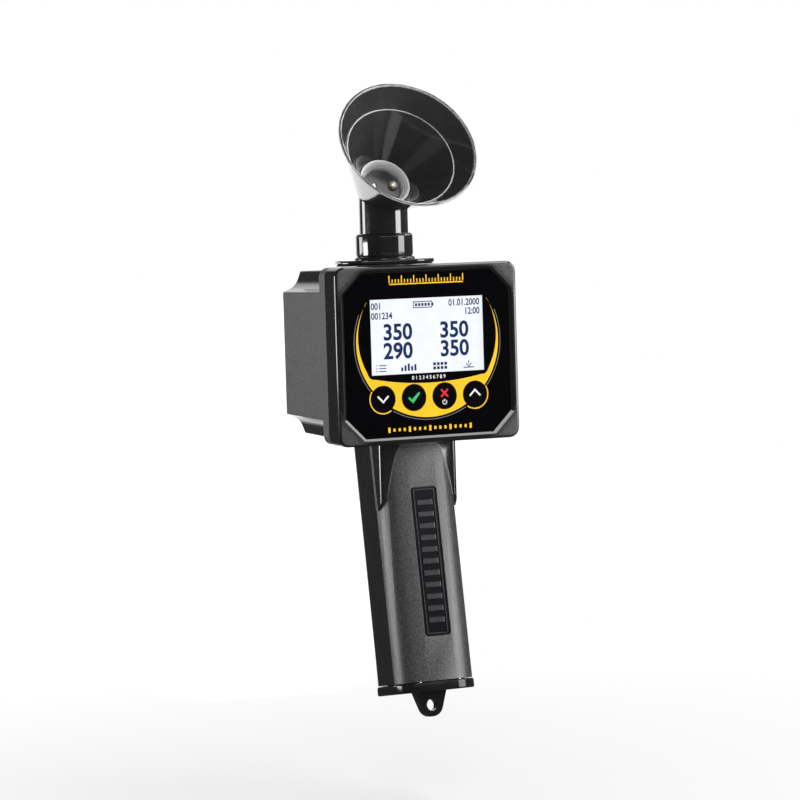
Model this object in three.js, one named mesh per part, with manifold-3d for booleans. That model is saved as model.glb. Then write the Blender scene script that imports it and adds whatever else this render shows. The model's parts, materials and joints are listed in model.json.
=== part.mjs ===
// A hand-held mastitis detector: a milking cup with two electrodes on a neck,
// a deep instrument box with a display and four keys, and a leaning handle
// that holds a block battery behind a cap with a lanyard eye.
// Millimetres, +Z up, the display faces -Y, the origin is the middle of the grip.

import * as THREE from 'three';
import { mergeVertices } from 'three/addons/utils/BufferGeometryUtils.js';
import Module from 'manifold-3d';

const wasm = await Module();
wasm.setup();

// Clearances and allowances
const gap = 0.3;
const sealGap = 0.15;
const runout = 3;
const weldTolerance = 0.0001;

// Steps of a full circle, by size, and of a quarter turn on an outline
const wideSteps = 38;
const roundSteps = 22;
const smallSteps = 12;
const wireSides = 8;
const cornerSteps = 4;

// Place of the box and the cup on the grip
const gripBehindFace = 16.9;
const gripBelowBox = 100.3;
const gripLean = 10;

// Front cover
const coverWidth = 82.6;
const coverHeight = 73.8;
const coverDepth = 10.8;
const coverCorner = 4.2;
const coverEdge = 0.9;
const coverWall = 2.2;
const coverFrontWall = 2;
const recessRimSide = 2.8;
const recessRimEnd = 2.05;
const recessCut = 9;
const recessSlope = 0.9;

// Front film and the keypad behind it
const filmThickness = 0.4;
const keypadThickness = 1.2;
const domePocketDepth = 0.9;
const keyRadius = 5.2;
const keyPitchShare = 0.1818;
const keyRowDrop = 17.9;
const keyStemRadius = 1.6;
const keyStemLength = 0.15;
const domeRadius = 4.2;
const domeHeight = 0.3;
const domeSheet = 0.12;
const domeKneeShare = 0.75;
const tailWidth = 9;
const tailThickness = 0.3;
const tailEndMargin = 7.5;

// Display
const viewWidth = 51.4;
const viewHeight = 31;
const viewRise = 7.5;
const windowThickness = 0.6;
const glassMargin = 1.5;
const glassThickness = 1.7;
const lightGuideThickness = 3.7;
const displayFrameWall = 1.2;
const displayFrameDepth = 6.3;

// Main board and what is on it
const boardMarginSide = 9.1;
const boardMarginEnd = 6.7;
const boardThickness = 1.6;
const boardPostInsetSide = 2.2;
const boardPostInsetEnd = 1.8;
const boardPostRadius = 2.2;
const boardScrewHead = 1.9;
const boardScrewHeadHeight = 1.4;
const boardScrewShaft = 0.9;
const boardScrewBite = 3.5;
const chipSize = 12;
const chipHeight = 1.4;
const chipRise = 6;
const beeperRadius = 6;
const beeperHeight = 3.6;
const beeperPlaceShare = 0.458;
const connectorWidth = 8;
const connectorHeight = 5;
const connectorDepth = 5.2;
const connectorMargin = 18.2;
const connectorEndMargin = 10.2;
const keypadSocketHeight = 3.2;
const keypadSocketDepth = 1.6;

// Rear housing
const flangeInset = 0.4;
const flangeDepth = 6.3;
const flangePocketDepth = 3;
const flangePocketInset = 0.8;
const flangePocketCut = 11.3;
const housingInsetSide = 1.2;
const housingInsetEnd = 1.6;
const housingDepth = 42.5;
const housingWall = 2.2;
const housingTaperShare = 0.9767;
const notchWidth = 8.5;
const notchHeight = 8.9;
const notchSlope = 21;
const notchFillet = 7;
const notchEdge = 0.8;
const caseScrewInset = 5.1;
const caseScrewHead = 2.1;
const caseScrewHeadHeight = 1.8;
const caseScrewShaft = 1.3;
const caseScrewBite = 7;
const caseScrewPost = 3.1;
const threadClearance = 0.2;
const sealGrooveWidth = 1.2;
const sealGrooveDepth = 0.9;
const sealSideGap = 0.2;

// Cup socket on top of the housing
const neckRearMargin = 18.8;
const socketLength = 43.4;
const socketWidth = 25.6;
const socketPlate = 1.9;
const socketEdge = 0.6;
const socketGasket = 0.7;
const padProud = 0.4;
const collarRadius = 12.1;
const collarHeight = 11;
const collarShoulder = 1.5;
const collarFootRadius = 11.3;
const collarFootHeight = 2.2;
const collarLedge = 0.5;

// Measuring cup: the elbow ball sits where the neck and the cone axis meet
const neckRadius = 10.3;
const neckPlay = 0.25;
const neckHeight = 29.9;
const neckBoreRadius = 8.3;
const neckBoreFloor = 1.6;
const neckBoreHeight = 17.6;
const wireBoreRadius = 4.7;
const wireBoreBack = 0.9;
const wireBoreBelowElbow = 3.8;
const spigotRadius = 7.6;
const spigotLength = 13;
const spigotBoreRadius = 5.8;
const elbowRadius = 11.1;
const cupTilt = 57.5;
const cupReach = 32.3;
const mouthRadius = 30.6;
const lipRadius = 0.65;
const stepDepth = 9.4;
const stepRadius = 23.4;
const stepLedge = 0.5;
const wellHeight = 3.4;
const wellRadius = 11.4;
const nutChamberRadius = 7.5;
const nutChamberDepth = 6.4;
const neckSealHeight = 4.8;
const neckSealGroove = 0.85;
const neckSealGrooveHeight = 1.5;
const neckSealRadius = 0.42;
const lockNutRadius = 11.5;
const lockNutHeight = 3.7;
const lockNutSides = 6;

// Chamber base and electrodes
const chamberFloorRadius = 8.1;
const chamberFloorThickness = 1.2;
const chamberWall = 0.9;
const chamberStep = 0.35;
const chamberStepShare = 0.45;
const electrodeSpread = 4.8;
const electrodeHead = 2;
const electrodeHeadHeight = 2.1;
const electrodeShaft = 1;
const electrodeHoleGap = 0.25;
const electrodeNut = 2;
const electrodeNutHeight = 1.5;
const electrodeTail = 1.2;
const leadRadius = 0.6;
const leadBend = 8;

// Handle
const gripWidth = 35.4;
const gripDepth = 29.9;
const gripBelow = 37.9;
const gripFrontRadius = 11.3;
const gripRearRadius = 4.3;
const shoulderFront = 12.6;
const shoulderDrop = 28.4;
const shoulderCorner = 2;
const shoulderBevelRise = 5;
const shoulderBevelDepth = 3;
const seatMargin = 1.2;
const wireChannelRadius = 4.2;
const handleScrewAcross = 23;
const handleScrewHead = 2.6;
const handleScrewHeadHeight = 2;
const handleScrewShaft = 1.3;
const handleScrewBite = 11;
const labelWidth = 11.3;
const labelBelow = 19.3;
const labelAbove = 42.3;
const labelCorner = 1.2;
const labelRecess = 0.8;
const labelThickness = 0.3;

// Battery and its compartment
const bayWidth = 28.5;
const bayDepth = 19.5;
const bayBack = 2.15;
const bayCorner = 1.5;
const batteryWidth = 26.5;
const batteryDepth = 17.5;
const batteryLength = 46.4;
const batteryEdge = 1;
const terminalRadius = 3;
const terminalHeight = 2.1;
const terminalSpread = 12.7;
const snapWidth = 25;
const snapDepth = 13;
const snapHeight = 3.8;
const foamThickness = 1.2;

// Battery cap
const capThickness = 3.9;
const capProud = 0.5;
const capEdge = 0.6;
const skirtHeight = 5.6;
const skirtWall = 1.4;
const capSealThickness = 0.8;
const capSealWidth = 1.4;
const capSealInset = 0.2;
const lugThickness = 4.3;
const lugTopWidth = 14.5;
const lugEndRadius = 4.9;
const lugDrop = 5.6;
const eyeRadius = 2.5;
const capScrewSpread = 18;
const capScrewForward = 11.2;
const capScrewHead = 1.9;
const capScrewHeadHeight = 1.4;
const capScrewShaft = 0.9;
const capScrewBite = 7;

// Widths and heights that follow the cover
const recessWidth = coverWidth - 2 * recessRimSide;
const recessHeight = coverHeight - 2 * recessRimEnd;
const keyPitch = recessWidth * keyPitchShare;
const boardWidth = coverWidth - 2 * boardMarginSide;
const boardHeight = coverHeight - 2 * boardMarginEnd;
const tailDrop = coverHeight / 2 - tailEndMargin;
const beeperAside = THREE.MathUtils.lerp(chipSize / 2, boardWidth / 2, beeperPlaceShare);
const connectorAside = boardWidth / 2 - connectorMargin;
const connectorDrop = boardHeight / 2 - connectorEndMargin;
const boardPostAcross = boardWidth - 2 * boardPostInsetSide;
const boardPostUp = boardHeight - 2 * boardPostInsetEnd;
const housingWidth = coverWidth - 2 * housingInsetSide;
const housingHeight = coverHeight - 2 * housingInsetEnd;

// Depths behind the front edge of the cover, one layer after the other
const filmFront = recessSlope;
const filmBack = filmFront + filmThickness;
const keypadFront = filmBack + gap;
const keypadBack = keypadFront + keypadThickness;
const recessDepth = keypadBack + gap;
const coverInside = recessDepth + coverFrontWall;
const windowBack = keypadFront + windowThickness;
const glassFront = windowBack + gap;
const glassBack = glassFront + glassThickness;
const guideFront = glassBack + gap;
const frameBack = glassFront + displayFrameDepth;
const boardFront = frameBack + gap;
const boardBack = boardFront + boardThickness;
const partsFront = boardBack + sealGap;
const flangeFront = coverDepth + gap;
const flangeBack = flangeFront + flangeDepth;
const housingBack = flangeBack + housingDepth;
const neckSetback = housingBack - neckRearMargin;

// Heights over the middle of the box
const flangeHalfHeight = coverHeight / 2 - flangeInset;
const padTop = housingHeight / 2 + padProud;
const gasketBottom = padTop + sealGap;
const plateBottom = gasketBottom + socketGasket + sealGap;
const plateTop = plateBottom + socketPlate;
const neckBottom = plateTop + collarLedge + gap;
const elbowHeight = neckBottom + neckHeight;
const handleTop = -flangeHalfHeight - gap;
const glassWidth = viewWidth + glassMargin + glassMargin;
const glassHeight = viewHeight + glassMargin + glassMargin;
const frameWidth = glassWidth + 2 * (gap + displayFrameWall);
const frameHeight = glassHeight + 2 * (gap + displayFrameWall);

const looks = {
  cover: new THREE.MeshStandardMaterial({ color: 0x3b3b3d, roughness: 0.5 }),
  film: new THREE.MeshStandardMaterial({ color: 0x0b0b0d, roughness: 0.18 }),
  key: new THREE.MeshStandardMaterial({ color: 0x111113, roughness: 0.22 }),
  clear: new THREE.MeshStandardMaterial({ color: 0xe8eef4, roughness: 0.08 }),
  glass: new THREE.MeshStandardMaterial({ color: 0xf1f5fb, roughness: 0.2 }),
  circuit: new THREE.MeshStandardMaterial({ color: 0x9aa48c, roughness: 0.5 }),
  board: new THREE.MeshStandardMaterial({ color: 0x1d6b3a, roughness: 0.45 }),
  chip: new THREE.MeshStandardMaterial({ color: 0x18181a, roughness: 0.55 }),
  socket: new THREE.MeshStandardMaterial({ color: 0xe7e2d2, roughness: 0.5 }),
  steel: new THREE.MeshStandardMaterial({ color: 0xb9bcc0, roughness: 0.3, metalness: 1 }),
  gold: new THREE.MeshStandardMaterial({ color: 0xd8b46a, roughness: 0.2, metalness: 1 }),
  housing: new THREE.MeshStandardMaterial({ color: 0x4a4a4c, roughness: 0.7 }),
  gloss: new THREE.MeshStandardMaterial({ color: 0x121214, roughness: 0.12 }),
  chamber: new THREE.MeshStandardMaterial({ color: 0x3a3a3d, roughness: 0.25 }),
  rubber: new THREE.MeshStandardMaterial({ color: 0x1a1a1a, roughness: 0.9 }),
  nylon: new THREE.MeshStandardMaterial({ color: 0x222224, roughness: 0.6 }),
  grip: new THREE.MeshStandardMaterial({ color: 0x3d3b3d, roughness: 0.6 }),
  label: new THREE.MeshStandardMaterial({ color: 0x24282c, roughness: 0.35 }),
  battery: new THREE.MeshStandardMaterial({ color: 0x2f4f6f, roughness: 0.4 }),
  foam: new THREE.MeshStandardMaterial({ color: 0x55565a, roughness: 0.95 }),
  red: new THREE.MeshStandardMaterial({ color: 0xa01f1f, roughness: 0.5 }),
  black: new THREE.MeshStandardMaterial({ color: 0x151515, roughness: 0.5 }),
};

// The groups carry the frames: the box, the cup on its elbow and the grip
const detector = new THREE.Group();
const box = new THREE.Group();
box.position.set(0, -gripBehindFace, gripBelowBox);
const cup = new THREE.Group();
cup.position.set(0, neckSetback, elbowHeight);
cup.rotation.x = THREE.MathUtils.degToRad(cupTilt);
const grip = new THREE.Group();
grip.rotation.x = -THREE.MathUtils.degToRad(gripLean);
detector.add(box, grip);
box.add(cup);
detector.updateMatrixWorld(true);

// Solids from closed meshes
function toSolid(geometry) {
  geometry.deleteAttribute('normal');
  geometry.deleteAttribute('uv');
  const merged = mergeVertices(geometry, weldTolerance);
  const corners = merged.index.array;
  const kept = [];
  for (let i = 0; i < corners.length; i += 3) {
    const [a, b, c] = corners.slice(i, i + 3);
    if (a !== b && b !== c && c !== a) kept.push(a, b, c);
  }
  return new wasm.Manifold(new wasm.Mesh({
    numProp: 3,
    vertProperties: new Float32Array(merged.attributes.position.array),
    triVerts: new Uint32Array(kept),
  }));
}

function toGeometry(solid) {
  const mesh = solid.getMesh();
  const geometry = new THREE.BufferGeometry();
  geometry.setAttribute('position', new THREE.BufferAttribute(mesh.vertProperties, 3));
  geometry.setIndex(new THREE.BufferAttribute(mesh.triVerts, 1));
  const faceted = geometry.toNonIndexed();
  faceted.computeVertexNormals();
  return faceted;
}

function add(parent, name, solid, look) {
  const mesh = new THREE.Mesh(toGeometry(solid), look);
  mesh.name = name;
  parent.add(mesh);
  return mesh;
}

function brick([x0, x1], [y0, y1], [z0, z1]) {
  const geometry = new THREE.BoxGeometry(x1 - x0, y1 - y0, z1 - z0);
  geometry.translate((x0 + x1) / 2, (y0 + y1) / 2, (z0 + z1) / 2);
  return toSolid(geometry);
}

// An outline in x and z, carried back from one depth to another
function slab(outline, front, back) {
  const geometry = new THREE.ExtrudeGeometry(outline, {
    depth: back - front,
    bevelEnabled: false,
    curveSegments: cornerSteps,
  });
  geometry.rotateX(Math.PI / 2);
  geometry.translate(0, back, 0);
  return geometry;
}

// An outline in x and y, raised from one height to another, with rounded edges if wanted
function plate(outline, bottom, top, edge = 0) {
  const geometry = new THREE.ExtrudeGeometry(outline, {
    depth: top - bottom - 2 * edge,
    bevelEnabled: edge > 0,
    bevelThickness: edge,
    bevelSize: edge,
    bevelOffset: -edge,
    bevelSegments: 2,
    curveSegments: cornerSteps,
  });
  geometry.translate(0, 0, bottom + edge);
  return geometry;
}

// A profile of radius and height points turned about the vertical
function turned(profile, steps) {
  const points = profile.map(([radius, height]) => new THREE.Vector2(radius, height));
  const geometry = new THREE.LatheGeometry(points, steps);
  geometry.rotateX(Math.PI / 2);
  return geometry;
}

function post(radius, bottom, top, x = 0, y = 0, steps = smallSteps) {
  const geometry = turned([[0, bottom], [radius, bottom], [radius, top], [0, top]], steps);
  return toSolid(geometry.translate(x, y, 0));
}

// A round bar from one depth to another
function rod(radius, front, back, x = 0, z = 0, steps = smallSteps) {
  const geometry = turned([[0, front], [radius, front], [radius, back], [0, back]], steps);
  geometry.rotateX(-Math.PI / 2);
  return toSolid(geometry.translate(x, 0, z));
}

function screw(head, headHeight, shaft, length) {
  const chamfer = headHeight / 4;
  return toSolid(turned([
    [0, -length],
    [shaft, -length],
    [shaft, 0],
    [head, 0],
    [head, headHeight - chamfer],
    [head - chamfer, headHeight],
    [0, headHeight],
  ], smallSteps));
}

// Outlines
function arcPoints(x, y, radius, from, to) {
  const points = [];
  for (let i = 0; i <= cornerSteps; i++) {
    const angle = THREE.MathUtils.degToRad(from + (to - from) * i / cornerSteps);
    points.push(new THREE.Vector2(x + radius * Math.cos(angle), y + radius * Math.sin(angle)));
  }
  return points;
}

// A closed outline whose corners are replaced by arcs of the given radii
function filleted(corners, radii) {
  const points = corners.flatMap((corner, i) => {
    const toLast = corners.at(i - 1).clone().sub(corner).normalize();
    const toNext = corners[(i + 1) % corners.length].clone().sub(corner).normalize();
    const half = Math.acos(toLast.dot(toNext)) / 2;
    const sweep = Math.sign(toNext.cross(toLast)) * (Math.PI - 2 * half);
    const middle = toLast.clone().rotateAround(new THREE.Vector2(), -Math.sign(sweep) * half);
    const centre = corner.clone().addScaledVector(middle, radii[i] / Math.sin(half));
    const start = corner.clone().addScaledVector(toLast, radii[i] / Math.tan(half));
    const steps = [...Array(cornerSteps + 1).keys()];
    return steps.map((step) => start.clone().rotateAround(centre, sweep * step / cornerSteps));
  });
  return new THREE.Shape(points);
}

// A rectangle about the origin; the near corners, on the low y side, may have their own radius
function rounded(width, height, radius, nearRadius = radius) {
  const [x, y] = [width / 2, height / 2];
  const corners = [[x, y], [-x, y], [-x, -y], [x, -y]].map(([a, b]) => new THREE.Vector2(a, b));
  return filleted(corners, [radius, radius, nearRadius, nearRadius]);
}

// An octagon: a rectangle with its corners cut at 45 degrees, drawn smaller by an inset
function cutRectangle(width, height, cut, inset = 0) {
  const x = width / 2 - inset;
  const y = height / 2 - inset;
  const c = cut - inset * (2 - Math.SQRT2);
  const quarter = [new THREE.Vector2(x, y - c), new THREE.Vector2(x - c, y)];
  return new THREE.Shape(fourQuarters(quarter));
}

// The outline of the cover, drawn smaller by an inset
function coverOutline(inset) {
  return rounded(coverWidth - 2 * inset, coverHeight - 2 * inset, coverCorner - inset);
}

// The points of the first quarter, mirrored into the other three
function fourQuarters(quarter) {
  const flip = (sx, sz) => quarter.map((p) => new THREE.Vector2(p.x * sx, p.y * sz));
  return [...quarter, ...flip(-1, 1).reverse(), ...flip(-1, -1), ...flip(1, -1).reverse()];
}

// The housing section: a rectangle whose corners are notched by two sloping faces and a fillet
function notched(inset) {
  const slope = THREE.MathUtils.degToRad(notchSlope);
  const x = housingWidth / 2;
  const z = housingHeight / 2;
  const outward = new THREE.Vector2(Math.cos(slope), Math.sin(slope));
  const upward = new THREE.Vector2(Math.sin(slope), Math.cos(slope));
  const wall = outward.dot(new THREE.Vector2(x - notchWidth, z)) - inset;
  const ledge = upward.dot(new THREE.Vector2(x, z - notchHeight)) - inset;
  const cross = outward.cross(upward);
  const innerX = (wall * upward.y - ledge * outward.y) / cross;
  const innerZ = (ledge * outward.x - wall * upward.x) / cross;
  const quarter = [
    new THREE.Vector2(x - inset, (ledge - upward.x * (x - inset)) / upward.y),
    new THREE.Vector2(innerX, innerZ),
    new THREE.Vector2((wall - outward.y * (z - inset)) / outward.x, z - inset),
  ];
  const radii = [notchEdge, notchFillet + inset, notchEdge];
  return filleted(fourQuarters(quarter), [...radii, ...radii, ...radii, ...radii]);
}

function stadium(length, width) {
  return rounded(length, width, width / 2 - gap / 4);
}

// The housing's width and height shrink evenly with depth, so that it can leave its mould
function taper(geometry) {
  const position = geometry.attributes.position;
  for (let i = 0; i < position.count; i++) {
    const depthShare = (position.getY(i) - flangeBack) / housingDepth;
    const share = 1 + (housingTaperShare - 1) * depthShare;
    position.setX(i, position.getX(i) * share);
    position.setZ(i, position.getZ(i) * share);
  }
  return geometry;
}

function corners(x, z) {
  return [[-x, z], [x, z], [-x, -z], [x, -z]];
}

const keyPlaces = [
  ['down', -1.5 * keyPitch],
  ['ok', -keyPitch / 2],
  ['esc', keyPitch / 2],
  ['up', 1.5 * keyPitch],
];
const caseScrewPlaces = corners(coverWidth / 2 - caseScrewInset, coverHeight / 2 - caseScrewInset);
const boardPostPlaces = corners(boardPostAcross / 2, boardPostUp / 2);

// A block centred on the display
function displayBlock(width, height, front, back) {
  return brick(
    [-width / 2, width / 2],
    [front, back],
    [viewRise - height / 2, viewRise + height / 2],
  );
}

// The opening that the display frame stands in
function displayOpening(back) {
  return displayBlock(frameWidth + 2 * gap, frameHeight + 2 * gap, 0, back);
}

function frontCover() {
  const outer = new THREE.ExtrudeGeometry(coverOutline(0), {
    depth: coverDepth - coverEdge,
    bevelThickness: coverEdge,
    bevelSize: coverEdge,
    bevelOffset: -coverEdge,
    bevelSegments: 3,
    curveSegments: cornerSteps,
  });
  outer.rotateX(Math.PI / 2);
  outer.translate(0, coverDepth, 0);
  const behind = coverDepth + runout;
  let solid = toSolid(outer).subtract(brick(
    [-coverWidth, coverWidth],
    [coverDepth, behind],
    [-coverHeight, coverHeight],
  ));
  const inner = coverOutline(coverWall);
  solid = solid.subtract(toSolid(slab(inner, coverInside, behind)));
  for (const [x, z] of caseScrewPlaces) {
    solid = solid.add(rod(caseScrewPost, coverInside - gap, coverDepth, x, z));
    const bottom = coverDepth - caseScrewBite - gap;
    solid = solid.subtract(rod(caseScrewShaft + threadClearance, bottom, behind, x, z));
  }
  for (const [x, z] of boardPostPlaces) {
    solid = solid.add(rod(boardPostRadius, coverInside - gap, boardFront - gap, x, z));
    const bottom = boardFront - boardScrewBite - gap;
    solid = solid.subtract(rod(boardScrewShaft + threadClearance, bottom, behind, x, z));
  }
  const recess = cutRectangle(recessWidth, recessHeight, recessCut, recessSlope);
  solid = solid.subtract(toSolid(slab(recess, -runout, recessDepth))).subtract(recessChamfer(recess));
  solid = solid.subtract(displayOpening(behind));
  solid = solid.subtract(brick(
    [-tailWidth / 2 - gap, tailWidth / 2 + gap],
    [recessDepth - gap, coverInside + gap],
    [-tailDrop - tailThickness / 2 - gap, -tailDrop + tailThickness / 2 + gap],
  ));
  return solid.subtract(sealRing(sealGrooveWidth, coverDepth - sealGrooveDepth, behind));
}

// The sloped rim of the recess, widest at the front face
function recessChamfer(outline) {
  const geometry = new THREE.ExtrudeGeometry(outline, {
    depth: runout,
    bevelThickness: recessSlope,
    bevelSize: recessSlope,
    bevelSegments: 1,
    curveSegments: 1,
  });
  geometry.rotateX(Math.PI / 2);
  return toSolid(geometry);
}

// A ring in the middle of the cover's rear rim, for the seal and its groove
function sealRing(width, front, back) {
  const ring = (inset) => toSolid(slab(coverOutline(inset), front, back));
  return ring((coverWall - width) / 2).subtract(ring((coverWall + width) / 2));
}

function filmOutline() {
  return cutRectangle(recessWidth, recessHeight, recessCut, recessSlope + gap);
}

function frontFilm() {
  let solid = toSolid(slab(filmOutline(), filmFront, filmBack));
  solid = solid.subtract(displayBlock(viewWidth, viewHeight, 0, filmBack + runout));
  for (const [, x] of keyPlaces) {
    solid = solid.subtract(rod(keyRadius + gap, 0, filmBack + runout, x, -keyRowDrop, roundSteps));
  }
  return solid;
}

function keypadCircuit() {
  let solid = toSolid(slab(filmOutline(), keypadFront, keypadBack));
  solid = solid.subtract(displayOpening(keypadBack + runout));
  for (const [, x] of keyPlaces) {
    const pocketFloor = keypadFront + domePocketDepth;
    solid = solid.subtract(rod(keyRadius + gap, 0, pocketFloor, x, -keyRowDrop, roundSteps));
  }
  return solid;
}

// A round key: a film disc with a small stem that meets the snap dome
function key() {
  const stemEnd = -filmThickness - keyStemLength;
  return toSolid(turned([
    [0, stemEnd],
    [keyStemRadius, stemEnd],
    [keyStemRadius, -filmThickness],
    [keyRadius, -filmThickness],
    [keyRadius, -filmThickness / 4],
    [keyRadius - filmThickness / 4, 0],
    [0, 0],
  ], roundSteps));
}

function snapDome() {
  const rise = domeHeight - domeSheet;
  return toSolid(turned([
    [0, rise],
    [domeRadius / 2, rise * domeKneeShare],
    [domeRadius, 0],
    [domeRadius, domeSheet],
    [domeRadius / 2, rise * domeKneeShare + domeSheet],
    [0, domeHeight],
  ], smallSteps));
}

function keypad() {
  add(box, 'front_film', frontFilm(), looks.film);
  add(box, 'keypad_circuit', keypadCircuit(), looks.circuit);
  for (const [name, x] of keyPlaces) {
    const cap = add(box, `key_${name}`, key(), looks.key);
    cap.position.set(x, filmFront, -keyRowDrop);
    cap.rotation.x = Math.PI / 2;
    const dome = add(box, `snap_dome_${name}`, snapDome(), looks.steel);
    dome.position.set(x, keypadFront + domePocketDepth - sealGap / 2, -keyRowDrop);
    dome.rotation.x = Math.PI / 2;
  }
  const tail = brick(
    [-tailWidth / 2, tailWidth / 2],
    [keypadBack + sealGap, boardFront - gap],
    [-tailDrop - tailThickness / 2, -tailDrop + tailThickness / 2],
  );
  add(box, 'keypad_tail', tail, looks.circuit);
}

function display() {
  const guideBack = guideFront + lightGuideThickness;
  const hollow = displayBlock(glassWidth + 2 * gap, glassHeight + 2 * gap, 0, frameBack + runout);
  const frame = displayBlock(frameWidth, frameHeight, glassFront, frameBack).subtract(hollow);
  const layers = [
    ['display_window', displayBlock(frameWidth, frameHeight, keypadFront, windowBack), looks.clear],
    ['display_glass', displayBlock(glassWidth, glassHeight, glassFront, glassBack), looks.glass],
    ['display_light_guide', displayBlock(glassWidth, glassHeight, guideFront, guideBack), looks.clear],
    ['display_frame', frame, looks.steel],
  ];
  for (const [name, solid, look] of layers) add(box, name, solid, look);
}

function mainBoard() {
  let board = brick(
    [-boardWidth / 2, boardWidth / 2],
    [boardFront, boardBack],
    [-boardHeight / 2, boardHeight / 2],
  );
  boardPostPlaces.forEach(([x, z], i) => {
    board = board.subtract(rod(boardScrewShaft + gap, 0, boardBack + runout, x, z));
    const shaftLength = boardScrewBite + boardThickness + sealGap;
    const turn = screw(boardScrewHead, boardScrewHeadHeight, boardScrewShaft, shaftLength);
    const fastener = add(box, `board_screw_${i + 1}`, turn, looks.steel);
    fastener.position.set(x, partsFront, z);
    fastener.rotation.x = -Math.PI / 2;
  });
  add(box, 'main_board', board, looks.board);
  const chip = brick(
    [-chipSize / 2, chipSize / 2],
    [partsFront, partsFront + chipHeight],
    [chipRise - chipSize / 2, chipRise + chipSize / 2],
  );
  add(box, 'processor_chip', chip, looks.chip);
  const beeperBack = partsFront + beeperHeight;
  const beeper = rod(beeperRadius, partsFront, beeperBack, beeperAside, chipRise, roundSteps);
  const soundFront = partsFront + beeperHeight / 2;
  const soundHole = rod(beeperRadius / 5, soundFront, soundFront + beeperHeight, beeperAside, chipRise);
  add(box, 'beeper', beeper.subtract(soundHole), looks.chip);
  const connectors = [['battery_connector', -connectorAside], ['electrode_connector', connectorAside]];
  for (const [name, x] of connectors) {
    const shell = brick(
      [x - connectorWidth / 2, x + connectorWidth / 2],
      [partsFront, partsFront + connectorDepth],
      [-connectorDrop - connectorHeight / 2, -connectorDrop + connectorHeight / 2],
    );
    add(box, name, shell, looks.socket);
  }
  const keypadSocket = brick(
    [-tailWidth / 2, tailWidth / 2],
    [boardFront - sealGap - keypadSocketDepth, boardFront - sealGap],
    [tailThickness / 2 + sealGap - tailDrop, tailThickness / 2 + sealGap - tailDrop + keypadSocketHeight],
  );
  add(box, 'keypad_connector', keypadSocket, looks.socket);
}

function rearHousing() {
  let solid = toSolid(slab(coverOutline(flangeInset), flangeFront, flangeBack));
  solid = solid.add(toSolid(taper(slab(notched(0), flangeBack - gap, housingBack))));
  const pad = plate(stadium(socketLength, socketWidth), housingHeight / 2 - housingWall, padTop);
  const neckPad = toSolid(pad.translate(0, neckSetback, 0));
  const [seatFront, seatBack] = handleSeat();
  const handlePad = brick(
    [-gripWidth / 2, gripWidth / 2],
    [seatFront, seatBack],
    [-flangeHalfHeight, housingWall - housingHeight / 2],
  );
  solid = solid.add(neckPad).add(handlePad);
  const hollow = slab(notched(housingWall), flangeFront - runout, housingBack - housingWall);
  solid = solid.subtract(toSolid(taper(hollow)));
  const pocketInset = coverWall + flangePocketInset;
  const pocket = cutRectangle(coverWidth, coverHeight, flangePocketCut, pocketInset);
  solid = solid.subtract(toSolid(slab(pocket, 0, flangeFront + flangePocketDepth)));
  for (const [x, z] of caseScrewPlaces) {
    solid = solid.subtract(rod(caseScrewShaft + gap, 0, flangeBack + runout, x, z));
  }
  solid = solid.subtract(post(spigotRadius + gap, 0, padTop + runout, 0, neckSetback, roundSteps));
  const { y } = onGripAxis(gripTopAlong());
  const below = -flangeHalfHeight - runout;
  solid = solid.subtract(post(wireChannelRadius + gap, below, 0, 0, y, roundSteps));
  for (const side of [-1, 1]) {
    const x = side * handleScrewAcross / 2;
    solid = solid.subtract(post(handleScrewShaft + gap, below, 0, x, y));
  }
  return solid;
}

// Points of the grip's own frame, told in the frame of the box
function onGripAxis(along, aside = 0, back = 0) {
  const point = grip.localToWorld(new THREE.Vector3(aside, back, along));
  return box.worldToLocal(point);
}

// How far up its axis the grip reaches the underside of the box
function gripTopAlong() {
  return (gripBelowBox + handleTop) / Math.cos(THREE.MathUtils.degToRad(gripLean));
}

// The level pad under the housing, from the flange to just behind the handle
function handleSeat() {
  const lean = THREE.MathUtils.degToRad(gripLean);
  const along = gripTopAlong() + gripDepth / 2 * Math.tan(lean);
  return [flangeBack - gap, onGripAxis(along, 0, gripDepth / 2).y + seatMargin];
}

function housingScrews() {
  caseScrewPlaces.forEach(([x, z], i) => {
    const length = flangeDepth + gap + sealGap + caseScrewBite;
    const solid = screw(caseScrewHead, caseScrewHeadHeight, caseScrewShaft, length);
    const fastener = add(box, `housing_screw_${i + 1}`, solid, looks.steel);
    fastener.position.set(x, flangeBack + sealGap, z);
    fastener.rotation.x = -Math.PI / 2;
  });
}

function housingSeal() {
  const width = sealGrooveWidth - 2 * sealSideGap;
  return sealRing(width, coverDepth - sealGrooveDepth + sealSideGap, flangeFront - sealGap);
}

// The oval plate with its collar, bored for the neck
function cupSocket() {
  const bore = neckRadius + neckPlay;
  const shoulderTop = plateTop + collarHeight;
  const [x, z] = [collarRadius - collarShoulder, shoulderTop - collarShoulder];
  const shoulder = arcPoints(x, z, collarShoulder, 0, 90);
  const collar = toSolid(turned([
    [0, plateBottom + socketPlate / 2],
    [collarFootRadius, plateBottom + socketPlate / 2],
    [collarFootRadius, plateTop],
    [collarRadius, plateTop + collarFootHeight],
    ...shoulder.map((p) => [p.x, p.y]),
    [0, shoulderTop],
  ], wideSteps));
  const oval = plate(stadium(socketLength, socketWidth), plateBottom, plateTop, socketEdge);
  let solid = toSolid(oval).add(collar);
  solid = solid.subtract(post(bore, plateTop + collarLedge, shoulderTop + runout, 0, 0, wideSteps));
  return solid.subtract(post(spigotRadius + gap, 0, shoulderTop, 0, 0, roundSteps));
}

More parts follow.
